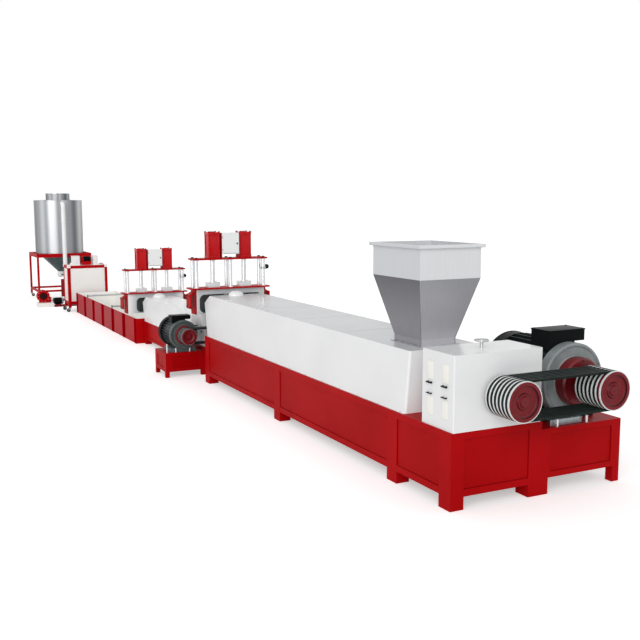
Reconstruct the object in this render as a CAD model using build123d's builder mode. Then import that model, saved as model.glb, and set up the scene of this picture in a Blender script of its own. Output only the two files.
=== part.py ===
"""Two-stage plastic pelletizing line: two screw extruders with belt drives, two screen changers
with hydraulic presses, a cooling tank, a strand cutter, and a storage silo fed by a blower.

Millimetres, +Z up. +X points along the line from the silo to the first extruder's drive end.
The origin lies on the floor under the middle of the whole line.
"""
import os
from math import sqrt

from build123d import *

# Gaps between pieces that turn or slide and their neighbours
running_gap = 0.3
bore_gap = 0.05
stop_gap = 6.0

# First extruder base, of posts, rails and sheets on feet
main_length = 6800.0
main_width = 1078.0
main_deck = 750.0
main_underside = 127.0
main_post = 190.0
main_post_depth = 154.0
main_rail = 70.0
main_bays = (0.0, 950.0, 3870.0, main_length - main_post)

# Second extruder base, which starts a gap behind the first
second_gap = 580.0
second_length = 3720.0
second_width = 678.0
second_deck = 475.0
second_underside = 100.0
second_post = 150.0
second_post_depth = 110.0
second_rail = 50.0
second_bays = (0.0, 1760.0, second_length - second_post)
second_start = -(main_length + second_gap)
second_end = second_start - second_length

# Motor bases beside them
main_motor_base_length = 1460.0
main_motor_base_width = 1039.0
main_motor_base_underside = 165.0
main_motor_foot = 92.0
second_motor_base_length = 600.0
second_motor_base_width = 680.0
second_motor_base_underside = 95.0
second_motor_foot = 65.0
motor_post = 120.0
motor_rail = 60.0

# Sheets of the bases
sheet = 8.0
sheet_recess = 10.0
deck_sheet = 12.0

# Gearboxes
main_gearbox_length = 530.0
main_gearbox_width = 1038.0
main_gearbox_top = 1483.0
second_gearbox_length = 530.0
second_gearbox_width = 678.0
second_gearbox_top = 1030.0
gearbox_edge = 12.0
gearbox_door_recess = 5.0
door_width_share = 0.2
door_height_share = 0.25
door_spread = 0.47
breather_back = 245.0
breather_offset = -30.0
breather_stem = 17.0
breather_hub = 28.0
breather_ring = 65.0
breather_ring_bar = 9.0
breather_spoke = 12.0
breather_height = 76.0

# Barrel covers: sheet-metal hoods that lean out at the far end
main_cover_start = 860.0
main_cover_top = 1392.0
main_cover_width = 998.0
main_cover_top_width = 898.0
second_cover_start = 820.0
second_cover_top = 957.0
second_cover_width = 660.0
second_cover_top_width = 580.0
cover_chamfer = 215.0
cover_chamfer_height = 130.0
cover_edge = 25.0
cover_inset = 20.0
cover_lean = 220.0
main_cover_foot = cover_inset - main_length
second_cover_foot = cover_inset + second_end

# Hopper over the first extruder's throat
hopper_centre = -1278.0
hopper_length = 930.0
hopper_width = 740.0
hopper_throat_length = 510.0
hopper_throat_width = 438.0
hopper_neck = 70.0
hopper_bend = 2101.0
hopper_top = 2450.0
hopper_wall = 5.0
hopper_rim = 34.0
hopper_rim_height = 26.0
throat_depth = 330.0

# Belt drives: equal pulleys on the gearbox shaft and on the motor shaft
main_pulley_diameter = 392.0
main_pulley_face = 385.0
main_groove_pitch = 54.0
main_groove_count = 6
main_shaft_height = 1071.0
main_motor_offset = 1092.0
second_pulley_diameter = 264.0
second_pulley_face = 270.0
second_groove_pitch = 46.0
second_groove_count = 4
second_shaft_height = 700.0
second_motor_offset = -694.0
groove_depth = 26.0
groove_top = 34.0
groove_bottom = 18.0
belt_depth = 24.0
pulley_rim = 14.0
web_inset = 16.0
web_thickness = 26.0
web_dish = 12.0
web_slope_run = 22.0
hub_slope_run = 8.0
shaft_collar = 6.0
hub_depth_share = 0.3
hub_ratio = 0.21
shaft_ratio = 0.13

# Motors
main_motor_radius = 385.0
main_motor_front = -175.0
main_motor_back = -1030.0
main_motor_seat = 21.0
main_flange_depth = 125.0
main_cowl_radius = 380.0
main_cowl_length = 190.0
second_motor_radius = 240.0
second_motor_front = 0.0
second_motor_back = -510.0
second_motor_seat = 50.0
second_flange_depth = 42.0
second_cowl_radius = 258.0
second_cowl_length = 125.0
fin_count = 32
fin_thickness = 7.0
fin_share = 0.12
flange_share = 0.65
shield_edge = 14.0
shield_share = 0.14
shield_groove = 10.0
flange_chamfer_share = 0.15
cowl_round_share = 0.25
foot_height = 62.0
foot_inset = 60.0
foot_share = 0.86
jack_diameter = 30.0
main_jacks = ((-337.0, 75.0), (46.0, 75.0))
main_jack_stations = (145.0, -1165.0)
second_jacks = ((-286.0, 150.0), (-136.0, 76.0), (104.0, 60.0))
second_jack_stations = (-35.0,)
slide_rail = 50.0
slide_rail_height = 58.0
slide_rail_low = -395.0
slide_rail_high = 20.0
slide_stations = (85.0, -1105.0)
main_terminal_setback = 404.0
main_terminal_length = 278.0
main_terminal_width = 468.0
main_terminal_height = 120.0
main_terminal_pedestal = 74.0
second_terminal_setback = 330.0
second_terminal_length = 180.0
second_terminal_width = 316.0
second_terminal_height = 64.0
second_terminal_pedestal = 40.0
pedestal_share = 0.72
pedestal_shift = -0.14

# Screen changers and their presses, behind the far ends of the bases
main_press_gap = 315.0
second_press_gap = 375.0
main_press_table = 1487.0
second_press_table = 1013.0
press_stroke_space = 476.0
press_plate = 25.0
press_depth = 290.0
press_table_width = 1360.0
press_head_width = 1280.0
column_spacing = 584.0
column_pitch = 190.0
column_diameter = 62.0
cylinder_spacing = 273.0
cylinder_height = 420.0
cylinder_flange = 205.0
cylinder_flange_height = 46.0
cylinder_corner = 12.0
cylinder_diameter = 168.0
cylinder_wall = 14.0
tie_rod = 20.0
tie_rod_inset = 16.0
rod_diameter = 76.0
piston_height = 40.0
ram_width = 205.0
ram_depth = 150.0
ram_height = 84.0
ram_chamfer = 4.0
rod_hole_gap = 1.0
housing_width = 1180.0
housing_depth = 210.0
housing_height = 400.0
housing_back = 40.0
housing_floor = 18.0
main_portal_width = 1080.0
second_portal_width = 820.0
portal_height = 300.0
portal_corner = 90.0
side_plate = 26.0
wing_gap = 56.0
wing_plate = 24.0
wing_height = 236.0
wing_drop = 72.0
wing_strip = 22.0
wing_slant = 34.0
barrel_radius = 110.0
barrel_flange = 34.0
barrel_flange_radius = 140.0
control_box_width = 295.0
control_box_height = 345.0
control_box_depth = 110.0
control_box_lift = 64.0
control_box_bracket = 8.0
box_forward = 70.0
box_door = 8.0
box_door_edge = 10.0

# Cooling tank, behind the second base
tank_gap = 30.0
tank_near = second_end - tank_gap
tank_length = 5870.0
tank_width = 1005.0
tank_height = 520.0
tank_wall = 5.0
tank_floor_height = 90.0
tank_bay_count = 6
tank_post = 62.0
tank_post_depth = 12.0
tank_lip = 30.0
tank_roller_diameter = 50.0
tank_roller_starts = (2070.0, 4590.0)
tank_roller_height = 560.0
roller_bearing = 46.0
roller_end_gap = 14.0
journal_diameter = 20.0
bearing_width = 24.0

# Strand cutter, behind the tank
cutter_gap = 150.0
cutter_front = tank_near - tank_length - cutter_gap
cutter_length = 600.0
cutter_width = 1050.0
cutter_foot = 120.0
cutter_top = 1245.0
cutter_tube = 72.0
cutter_corner = 80.0
cutter_beam_drop = 25.0
cutter_beam_rise = 85.0
cutter_sheet = 6.0
cutter_motor_radius = 84.0
cutter_motor_length = 240.0
cutter_offset = -160.0
cutter_motor_offset = -142.0
cutter_saddle = 54.0
cutter_saddle_foot = 1.5
cutter_boxes = ((-412.0, 170.0), (96.0, 124.0))
cutter_box_length = 260.0
cutter_box_height = 240.0

# Silo on its stand, behind the cutter
silo_gap = 3350.0
silo_centre = cutter_front - cutter_length - silo_gap
silo_offset = -143.0
silo_radius = 700.0
silo_wall = 4.0
silo_seat = 1370.0
silo_top = 2938.0
silo_cone_radius = 645.0
silo_cone_tip = 800.0
silo_outlet_radius = 75.0
silo_outlet_height = 180.0
valve_neck_share = 0.25
valve_bulge = 26.0
valve_throat = 52.0
silo_neck_radius = 345.0
silo_neck_top = 3147.0
silo_roof_rise = 16.0
stand_half_length = 700.0
stand_half_width = 765.0
stand_tube = 56.0
stand_beam = 105.0
stand_tie_height = 240.0
stand_foot = 110.0
riser_radius = 61.0
riser_gap = 40.0
riser_bend = 100.0
riser_drop = 95.0
riser_reach = 60.0

# Blower that lifts the pellets into the silo
blower_gap = 1050.0
blower_x = cutter_front - cutter_length - blower_gap
blower_y = -1067.0
blower_radius = 170.0
blower_width = 150.0
blower_wall = 8.0
blower_nose = 30.0
blower_inlet_radius = 62.0
blower_motor_radius = 88.0
blower_motor_length = 260.0
blower_motor_shift = 250.0
blower_base_length = 420.0
blower_base_width = 330.0
blower_plate = 115.0
blower_foot = 210.0
blower_rail = 50.0
blower_rail_height = 40.0
blower_rail_spread = 180.0
blower_rail_length = 640.0
blower_bracket = 26.0

# Post that steadies the riser pipe beside the silo's stand
support_tube = 80.0
support_height = 620.0
support_foot = 150.0
support_foot_plate = 12.0

# Casters, whose wheels trail beside their legs
caster_radius = 48.0
caster_width = 30.0
caster_gap = 3.0
caster_cheek = 5.0
caster_plate = 8.0
caster_mount = 70.0
caster_trail = 40.0
caster_axle = 8.0
caster_boss = 14.0

# Place of the line: the origin is under the middle of everything it covers
line_far = silo_centre - stand_half_length - stand_tube / 2
line_high = main_width / 2 + main_motor_base_width
line_low = blower_y - blower_radius
line_start = -(main_pulley_face + line_far) / 2
line_axis = -(line_high + line_low) / 2


def x_at(distance):
    """Place along the line, from the drive end of the first base (negative towards the silo)."""
    return line_start + distance


def y_at(offset):
    """Place across the line, from the screws' centre plane."""
    return line_axis + offset


def keep(piece, label):
    """Names a finished piece and writes it."""
    piece.part.label = label
    export_step(piece.part, f"parts/{label}.step")


def keep_group(pieces, label):
    """Names and writes like pieces that stand apart, as one node of several solids."""
    with BuildPart() as group:
        for piece in pieces:
            add(piece.part)
    keep(group, label)


def middle(a, b):
    return (a + b) / 2


def across(x, y=0.0, z=0.0):
    """Plane across the line at a point: its normal is +X, its own x runs along +Y."""
    return Plane(origin=(x, y, z), x_dir=(0, 1, 0), z_dir=(1, 0, 0))


def post_centres(near, bays, low, high, post, depth):
    """Centres of the posts: one at each side of the base for each bay start."""
    rows = (low + depth / 2, high - depth / 2)
    return [(near - start - post / 2, row) for start in bays for row in rows]


def build_base_frame(near, length, low, high, underside, top, bays, post, depth, rail):
    """Posts tied by a rail round the bottom and one round the top."""
    with BuildPart() as frame:
        with BuildSketch(Plane.XY.offset(underside)):
            with Locations(post_centres(near, bays, low, high, post, depth)):
                Rectangle(post, depth)
        extrude(amount=top - underside)
        for level in (underside, top - rail):
            with BuildSketch(Plane.XY.offset(level)):
                with Locations((near - length / 2, middle(low, high))):
                    Rectangle(length, high - low)
                    Rectangle(length - 2 * rail, high - low - 2 * rail, mode=Mode.SUBTRACT)
            extrude(amount=rail)
    return frame


def build_base_panels(near, length, low, high, underside, top, bays, post, depth, rail):
    """Sheets that fill the bays of the sides and ends, set back from the posts, and the deck."""
    panel_height = top - underside - 2 * rail
    panel_middle = underside + rail + panel_height / 2
    starts = [start + post for start in bays[:-1]]
    with BuildPart() as panels:
        for start, end in zip(starts, bays[1:]):
            with Locations((near - middle(start, end), low + sheet_recess + sheet / 2, panel_middle),
                           (near - middle(start, end), high - sheet_recess - sheet / 2, panel_middle)):
                Box(end - start, sheet, panel_height)
        with Locations((near - sheet_recess - sheet / 2, middle(low, high), panel_middle),
                       (near - length + sheet_recess + sheet / 2, middle(low, high), panel_middle)):
            Box(sheet, high - low - 2 * depth, panel_height)
        with BuildSketch(Plane.XY.offset(top - deck_sheet)):
            with Locations((near - length / 2, middle(low, high))):
                Rectangle(length - 2 * rail, high - low - 2 * rail)
            with Locations(post_centres(near, bays, low, high, post, depth)):
                Rectangle(post, depth, mode=Mode.SUBTRACT)
        extrude(amount=deck_sheet)
    return panels


def build_base_feet(near, length, low, high, underside, bays, foot, foot_depth):
    """Feet that carry the posts down to the floor, flush with the base's outer faces."""
    stations = [near - start - foot / 2 for start in bays[:-1]] + [near - length + foot / 2]
    rows = (low + foot_depth / 2, high - foot_depth / 2)
    with BuildPart() as feet:
        with BuildSketch(Plane.XY):
            with Locations([(station, row) for station in stations for row in rows]):
                Rectangle(foot, foot_depth)
        extrude(amount=underside)
    return feet


os.makedirs("parts", exist_ok=True)

# Bases: four fabricated frames, their sheets and their feet
main_low = y_at(-main_width / 2)
main_high = y_at(main_width / 2)
second_low = y_at(-second_width / 2)
second_high = y_at(second_width / 2)
main_motor_high = main_high + main_motor_base_width
second_motor_low = second_low - second_motor_base_width
main_motor_base_top = main_shaft_height - main_motor_radius - main_motor_seat
second_motor_base_top = second_shaft_height - second_motor_radius - second_motor_seat

main_base = (x_at(0), main_length, main_low, main_high, main_underside, main_deck,
             main_bays, main_post, main_post_depth, main_rail)
second_base = (x_at(second_start), second_length, second_low, second_high, second_underside,
               second_deck, second_bays, second_post, second_post_depth, second_rail)
main_motor_base = (x_at(0), main_motor_base_length, main_high, main_motor_high,
                   main_motor_base_underside, main_motor_base_top,
                   (0.0, main_motor_base_length - motor_post), motor_post, motor_post, motor_rail)
second_motor_base = (x_at(second_start), second_motor_base_length, second_motor_low, second_low,
                     second_motor_base_underside, second_motor_base_top,
                     (0.0, second_motor_base_length - motor_post), motor_post, motor_post,
                     motor_rail)

for place, bases, feet in (
        ("extruder", (main_base, second_base),
         ((main_post, main_post_depth), (second_post, second_post_depth))),
        ("motor", (main_motor_base, second_motor_base),
         ((main_motor_foot, main_motor_foot), (second_motor_foot, second_motor_foot)))):
    keep_group([build_base_frame(*base) for base in bases], f"{place}_base_frames")
    keep_group([build_base_panels(*base) for base in bases], f"{place}_base_panels")
    keep_group([build_base_feet(*base[:5], base[6], *foot) for base, foot in zip(bases, feet)],
               f"{place}_base_feet")


def build_gearbox(near, length, width, deck, top):
    """Closed gearbox housing with four tall service doors sunk in the side that faces the aisle."""
    height = top - deck
    with BuildPart() as box:
        with Locations((near - length / 2, y_at(0), deck + height / 2)):
            Box(length, width, height)
        fillet(box.edges().filter_by(Axis.Z), radius=gearbox_edge)
        side = Plane(origin=(near - length / 2, y_at(-width / 2), deck + height / 2),
                     x_dir=(1, 0, 0), z_dir=(0, -1, 0))
        with BuildSketch(side):
            with GridLocations(door_spread * length, door_spread * height, 2, 2):
                Rectangle(door_width_share * length, door_height_share * height)
        extrude(amount=-gearbox_door_recess, mode=Mode.SUBTRACT)
    return box


keep(build_gearbox(x_at(0), main_gearbox_length, main_gearbox_width, main_deck,
                   main_gearbox_top), "main_gearbox")
keep(build_gearbox(x_at(second_start), second_gearbox_length, second_gearbox_width, second_deck,
                   second_gearbox_top), "second_gearbox")

# Breather on the first gearbox: a stem that carries a ring on four spokes
breather_place = (x_at(-breather_back), y_at(breather_offset))
with BuildPart() as breather:
    with BuildSketch(Plane.XY.offset(main_gearbox_top)):
        with Locations(breather_place):
            Circle(breather_stem)
    extrude(amount=breather_height)
    with Locations((*breather_place, main_gearbox_top + breather_height)):
        Torus(breather_ring, breather_ring_bar)
        Cylinder(breather_hub, 2 * breather_ring_bar)
        Box(2 * breather_ring, breather_spoke, breather_spoke)
        Box(breather_spoke, 2 * breather_ring, breather_spoke)
keep(breather, "gearbox_breather")


def build_cover(near, foot, shoulder, deck, top, width, top_width):
    """Hood over a barrel: side profile with a leaning, chamfered far end, crossed with a drafted
    end profile, and a round cap where the barrel leaves it."""
    with BuildPart() as hood:
        with BuildSketch(Plane.XZ.offset(-y_at(width / 2))):
            with BuildLine():
                Polyline((near, deck), (near, top), (shoulder + cover_chamfer, top),
                         (shoulder, top - cover_chamfer_height), (foot, deck), close=True)
            make_face()
        extrude(amount=width)
        with BuildSketch(across(shoulder, y_at(0))):
            with BuildLine():
                Polyline((-width / 2, deck), (width / 2, deck), (top_width / 2, top),
                         (-top_width / 2, top), close=True)
            make_face()
        extrude(amount=near - shoulder, mode=Mode.INTERSECT)
        fillet(hood.faces().sort_by(Axis.X)[-1].edges().filter_by(Axis.Y, reverse=True),
               radius=cover_edge)
    return hood


main_shoulder = x_at(main_cover_foot - cover_lean)
second_shoulder = x_at(second_cover_foot - cover_lean)
main_hood = build_cover(x_at(-main_cover_start), x_at(main_cover_foot), main_shoulder,
                        main_deck, main_cover_top, main_cover_width, main_cover_top_width)
with BuildPart() as main_cover:
    add(main_hood.part)
    with BuildSketch(Plane.XY.offset(main_cover_top)):
        with Locations((x_at(hopper_centre), y_at(0))):
            Rectangle(hopper_throat_length - 2 * hopper_wall, hopper_throat_width - 2 * hopper_wall)
    extrude(amount=-throat_depth, mode=Mode.SUBTRACT)
keep(main_cover, "main_barrel_cover")
second_hood = build_cover(x_at(second_start - second_cover_start), x_at(second_cover_foot),
                          second_shoulder, second_deck, second_cover_top,
                          second_cover_width, second_cover_top_width)
keep(second_hood, "second_barrel_cover")


def hopper_sections(inset):
    """Levels and sizes of the hopper's section, drawn in by a wall thickness."""
    return ((main_cover_top, hopper_throat_length - inset, hopper_throat_width - inset),
            (main_cover_top + hopper_neck, hopper_throat_length - inset, hopper_throat_width - inset),
            (hopper_bend, hopper_length - inset, hopper_width - inset),
            (hopper_top, hopper_length - inset, hopper_width - inset))


def build_funnel(inset):
    """Straight neck, tapered body and straight upper box, one above the other."""
    levels = hopper_sections(inset)
    with BuildPart() as funnel:
        for (low, length, width), (high, next_length, next_width) in zip(levels, levels[1:]):
            with BuildSketch(Plane.XY.offset(low)):
                with Locations((x_at(hopper_centre), y_at(0))):
                    Rectangle(length, width)
            with BuildSketch(Plane.XY.offset(high)):
                with Locations((x_at(hopper_centre), y_at(0))):
                    Rectangle(next_length, next_width)
            loft()
    return funnel


funnel_outside = build_funnel(0)
funnel_inside = build_funnel(2 * hopper_wall)
with BuildPart() as hopper:
    add(funnel_outside.part)
    with BuildSketch(Plane.XY.offset(hopper_top - hopper_rim_height)):
        with Locations((x_at(hopper_centre), y_at(0))):
            Rectangle(hopper_length + 2 * hopper_rim, hopper_width + 2 * hopper_rim)
    extrude(amount=hopper_rim_height)
    add(funnel_inside.part, mode=Mode.SUBTRACT)
keep(hopper, "hopper")


def groove_centres(back, pitch, count):
    """Middles of the belt grooves, from the pulley's back face."""
    return [back + (index + 0.5) * pitch + pulley_rim / 2 for index in range(count)]


def build_pulley(axis_y, axis_z, face, diameter, pitch, count, shaft_end):
    """Multi-groove V-belt pulley: grooved rim, dished web with a stepped hub, and its shaft."""
    radius = diameter / 2
    width = pitch * count + pulley_rim
    back = face - width
    centre = Plane(origin=(0, axis_y, axis_z), x_dir=(1, 0, 0), z_dir=(0, -1, 0))
    turning = Axis((0, axis_y, axis_z), (1, 0, 0))
    web_radius = radius - groove_depth - pulley_rim
    hub_radius = hub_ratio * diameter
    shaft_radius = shaft_ratio * diameter
    web_face = face - web_inset
    hub_back = web_face - web_thickness - hub_depth_share * width
    outline = [(face, web_radius), (face, radius)]
    for middle_x in reversed(groove_centres(back, pitch, count)):
        outline += [(middle_x + groove_top / 2, radius),
                    (middle_x + groove_bottom / 2, radius - groove_depth),
                    (middle_x - groove_bottom / 2, radius - groove_depth),
                    (middle_x - groove_top / 2, radius)]
    outline += [(back, radius), (back, web_radius)]
    outline += [(web_face - web_thickness, web_radius), (web_face - web_thickness, hub_radius),
                (hub_back, hub_radius), (hub_back, shaft_radius), (shaft_end, shaft_radius),
                (shaft_end, 0), (web_face + web_dish, 0), (web_face + web_dish, shaft_radius),
                (web_face, shaft_radius + shaft_collar), (web_face, hub_radius - hub_slope_run),
                (web_face - web_dish, hub_radius), (web_face - web_dish, web_radius - web_slope_run),
                (web_face, web_radius)]
    with BuildPart() as pulley:
        with BuildSketch(centre):
            with BuildLine():
                Polyline(*outline, close=True)
            make_face()
        revolve(axis=turning)
    return pulley


def build_belts(axis_y, axis_z, other_y, face, diameter, pitch, count):
    """V-belts seated in the grooves: each is a closed loop round both pulleys."""
    radius = diameter / 2
    back = face - (pitch * count + pulley_rim)
    slope = (groove_top - groove_bottom) / 2 / groove_depth
    flank_gap = running_gap * sqrt(1 + slope * slope)
    low, high = sorted((axis_y, other_y))
    with BuildPart() as belts:
        for middle_x in groove_centres(back, pitch, count):
            half_top = groove_top / 2 - flank_gap
            half_bottom = half_top - slope * belt_depth
            section = ((middle_x - half_top, radius), (middle_x + half_top, radius),
                       (middle_x + half_bottom, radius - belt_depth),
                       (middle_x - half_bottom, radius - belt_depth))
            for y, turn in ((low, 180), (high, -180)):
                with BuildSketch(Plane(origin=(0, y, axis_z), x_dir=(1, 0, 0), z_dir=(0, -1, 0))):
                    with BuildLine():
                        Polyline(*section, close=True)
                    make_face()
                revolve(axis=Axis((0, y, axis_z), (1, 0, 0)), revolution_arc=turn)
            for side in (1, -1):
                with BuildSketch(Plane(origin=(0, low, axis_z), x_dir=(1, 0, 0), z_dir=(0, -1, 0))):
                    with BuildLine():
                        Polyline(*[(x, side * z) for x, z in section], close=True)
                    make_face()
                extrude(amount=low - high)
    return belts


main_motor_y = y_at(main_motor_offset)
second_motor_y = y_at(second_motor_offset)
main_motor_face = x_at(main_motor_front)
second_motor_face = x_at(second_start + second_motor_front)
drives = (("main", main_motor_y, main_shaft_height, x_at(main_pulley_face), main_pulley_diameter,
           main_groove_pitch, main_groove_count, x_at(0), main_motor_face + main_flange_depth),
          ("second", second_motor_y, second_shaft_height, x_at(second_start + second_pulley_face),
           second_pulley_diameter, second_groove_pitch, second_groove_count, x_at(second_start),
           second_motor_face + second_flange_depth))
for stage, motor_y, height, face, diameter, pitch, count, gearbox_face, flange_face in drives:
    keep(build_pulley(y_at(0), height, face, diameter, pitch, count, gearbox_face + running_gap),
         f"{stage}_driven_pulley")
    keep(build_pulley(motor_y, height, face, diameter, pitch, count, flange_face + running_gap),
         f"{stage}_motor_pulley")
    keep(build_belts(y_at(0), height, motor_y, face, diameter, pitch, count), f"{stage}_belts")


def build_motor_body(y, z, radius, front, back):
    """Ribbed motor frame with its end shield: a turned disc whose face is sunk round the flange."""
    core = radius * (1 - fin_share)
    shield = shield_share * (front - back)
    flange = flange_share * radius
    with BuildPart() as body:
        with BuildSketch(across(back, y, z)):
            Circle(core)
            with PolarLocations(middle(core - fin_thickness, radius), fin_count):
                Rectangle(radius - core + fin_thickness, fin_thickness)
        extrude(amount=front - back - shield)
        with BuildSketch(Plane(origin=(0, y, z), x_dir=(1, 0, 0), z_dir=(0, -1, 0))):
            with BuildLine():
                Polyline((front - shield, 0), (front - shield, radius), (front - shield_edge, radius),
                         (front, radius - shield_edge), (front, radius - 2 * shield_edge),
                         (front - shield_edge, radius - 3 * shield_edge),
                         (front - shield_edge, flange + shield_groove),
                         (front, flange), (front, 0), close=True)
            make_face()
        revolve(axis=Axis((0, y, z), (1, 0, 0)))
    return body


def build_motor_foot(y, z, radius, front, back, base_top):
    """Foot plate between the motor's belly and the base, hollowed to the belly."""
    with BuildPart() as foot:
        with BuildSketch(across(back + foot_inset, y, base_top)):
            with Locations((0, foot_height / 2)):
                Rectangle(2 * foot_share * radius, foot_height)
            with Locations((0, z - base_top)):
                Circle(radius + running_gap, mode=Mode.SUBTRACT)
        extrude(amount=front - back - 2 * foot_inset)
    return foot


def build_motor_flange(y, z, radius, front, depth):
    """Round bearing housing on the end shield."""
    with BuildPart() as flange:
        with BuildSketch(across(front, y, z)):
            Circle(flange_share * radius)
        extrude(amount=depth)
        chamfer(flange.faces().sort_by(Axis.X)[-1].edges(), length=flange_chamfer_share * depth)
    return flange


def build_cowl(y, z, radius, back, length):
    """Fan cowl at the motor's back, rounded at its rear edge."""
    with BuildPart() as cowl:
        with BuildSketch(across(back, y, z)):
            Circle(radius)
        extrude(amount=-length)
        fillet(cowl.faces().sort_by(Axis.X)[0].edges(), radius=cowl_round_share * length)
    return cowl


def build_terminal_box(y, z, radius, far, length, width, height, pedestal):
    """Box on the motor's back, with a pedestal cut to the round of the ribs."""
    with BuildPart() as box:
        with BuildSketch(across(far, y, z + radius)):
            with Locations((0, height / 2)):
                Rectangle(width, height)
            with Locations((pedestal_shift * width, -pedestal / 2)):
                Rectangle(pedestal_share * width, pedestal)
            with Locations((0, -radius)):
                Circle(radius + running_gap, mode=Mode.SUBTRACT)
        extrude(amount=length)
    return box


def build_jacks(y, face, base_top, jacks, stations):
    """Jack bolts that stand on the base before and behind the motor."""
    with BuildPart() as bolts:
        for offset, height in jacks:
            with BuildSketch(Plane.XY.offset(base_top)):
                with Locations([(face + station, y + offset) for station in stations]):
                    Circle(jack_diameter / 2)
            extrude(amount=height)
    return bolts


motors = ((main_motor_y, main_shaft_height, main_motor_radius, main_motor_face,
           x_at(main_motor_back)),
          (second_motor_y, second_shaft_height, second_motor_radius, second_motor_face,
           x_at(second_start + second_motor_back)))
base_tops = (main_motor_base_top, second_motor_base_top)
keep_group([build_motor_body(*motor) for motor in motors], "motor_bodies")
keep_group([build_motor_foot(*motor, top) for motor, top in zip(motors, base_tops)], "motor_feet")
keep_group([build_motor_flange(y, z, radius, front, depth) for (y, z, radius, front, back), depth
            in zip(motors, (main_flange_depth, second_flange_depth))], "motor_flanges")
keep_group([build_cowl(y, z, radius, back, length) for (y, z, front_radius, front, back), radius, length
            in zip(motors, (main_cowl_radius, second_cowl_radius),
                   (main_cowl_length, second_cowl_length))], "motor_fan_cowls")
keep_group([build_terminal_box(*place, *sizes) for place, sizes in zip(
    ((main_motor_y, main_shaft_height, main_motor_radius, main_motor_face - main_terminal_setback),
     (second_motor_y, second_shaft_height, second_motor_radius,
      second_motor_face - second_terminal_setback)),
    ((main_terminal_length, main_terminal_width, main_terminal_height, main_terminal_pedestal),
     (second_terminal_length, second_terminal_width, second_terminal_height,
      second_terminal_pedestal)))], "motor_terminal_boxes")
keep_group([build_jacks(main_motor_y, main_motor_face, main_motor_base_top, main_jacks,
                        main_jack_stations),
            build_jacks(second_motor_y, second_motor_face, second_motor_base_top, second_jacks,
                        second_jack_stations)], "motor_jack_bolts")

# Slide rails across the first motor's base, behind its jack bolts
with BuildPart() as slide_rails:
    with BuildSketch(Plane.XY.offset(main_motor_base_top)):
        with Locations([(main_motor_face + station, main_motor_y + middle(slide_rail_low, slide_rail_high))
                        for station in slide_stations]):
            Rectangle(slide_rail, slide_rail_high - slide_rail_low)
    extrude(amount=slide_rail_height)
keep(slide_rails, "motor_slide_rails")


def build_housing(centre, table, portal_width):
    """Screen changer housing: a block with a round-cornered recess towards the barrel."""
    bottom = table - press_plate / 2 - housing_height
    front = centre + housing_depth / 2
    with BuildPart() as housing:
        with BuildSketch(across(centre - housing_depth / 2, y_at(0), bottom)):
            with Locations((0, housing_height / 2)):
                Rectangle(housing_width, housing_height)
        extrude(amount=housing_depth)
        with BuildSketch(across(front, y_at(0), bottom)):
            with Locations((0, housing_floor + portal_height / 2)):
                opening = Rectangle(portal_width, portal_height)
            fillet(opening.vertices().group_by(Axis.Z)[-1], radius=portal_corner)
        extrude(amount=housing_back - housing_depth, mode=Mode.SUBTRACT)
    return housing


def build_side_plates(centre, table):
    """Red plates on both sides of the housing, each with a guard plate hung on a top strip."""
    top = table - press_plate / 2
    outer = housing_width / 2 + side_plate
    with BuildPart() as plates:
        for side in (1, -1):
            with BuildSketch(across(centre - housing_depth / 2, y_at(0), top)):
                with Locations((side * (housing_width / 2 + side_plate / 2), -housing_height / 2)):
                    Rectangle(side_plate, housing_height)
                with BuildLine():
                    Polyline((side * outer, wing_slant - wing_drop),
                             (side * (outer + wing_gap), -wing_drop),
                             (side * (outer + wing_gap), -wing_drop - wing_strip),
                             (side * outer, wing_slant - wing_drop - wing_strip), close=True)
                make_face()
                with Locations((side * (outer + wing_gap + wing_plate / 2), -wing_drop - wing_height / 2)):
                    Rectangle(wing_plate, wing_height)
            extrude(amount=housing_depth)
    return plates


def build_press_plates(centre, table):
    """The table on the housing and the head plate that carries cylinders and box brackets."""
    head = table + press_stroke_space
    with BuildPart() as plates:
        with Locations((centre, y_at(0), table)):
            Box(press_depth, press_table_width, press_plate)
        with Locations((centre, y_at(0), head)):
            Box(press_depth, press_head_width, press_plate)
        with BuildSketch(Plane.XY.offset(head + press_plate / 2)):
            with Locations([(centre + box_forward, y_at(side * middle(control_box_width,
                            control_box_width + 2 * control_box_bracket) / 2)) for side in (1, -1)]):
                Rectangle(control_box_depth, control_box_bracket)
        extrude(amount=control_box_lift + control_box_height)
        with Locations([(centre, y_at(side * cylinder_spacing), head) for side in (1, -1)]):
            Cylinder(rod_diameter / 2 + rod_hole_gap, 2 * press_plate, mode=Mode.SUBTRACT)
    return plates


def build_columns(centre, table):
    """Six columns between the plates, in pairs."""
    with BuildPart() as columns:
        with BuildSketch(Plane.XY.offset(table + press_plate / 2)):
            with Locations((centre, y_at(0))):
                with GridLocations(column_pitch, column_spacing, 2, 3):
                    Circle(column_diameter / 2)
        extrude(amount=press_stroke_space - press_plate)
    return columns


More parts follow.
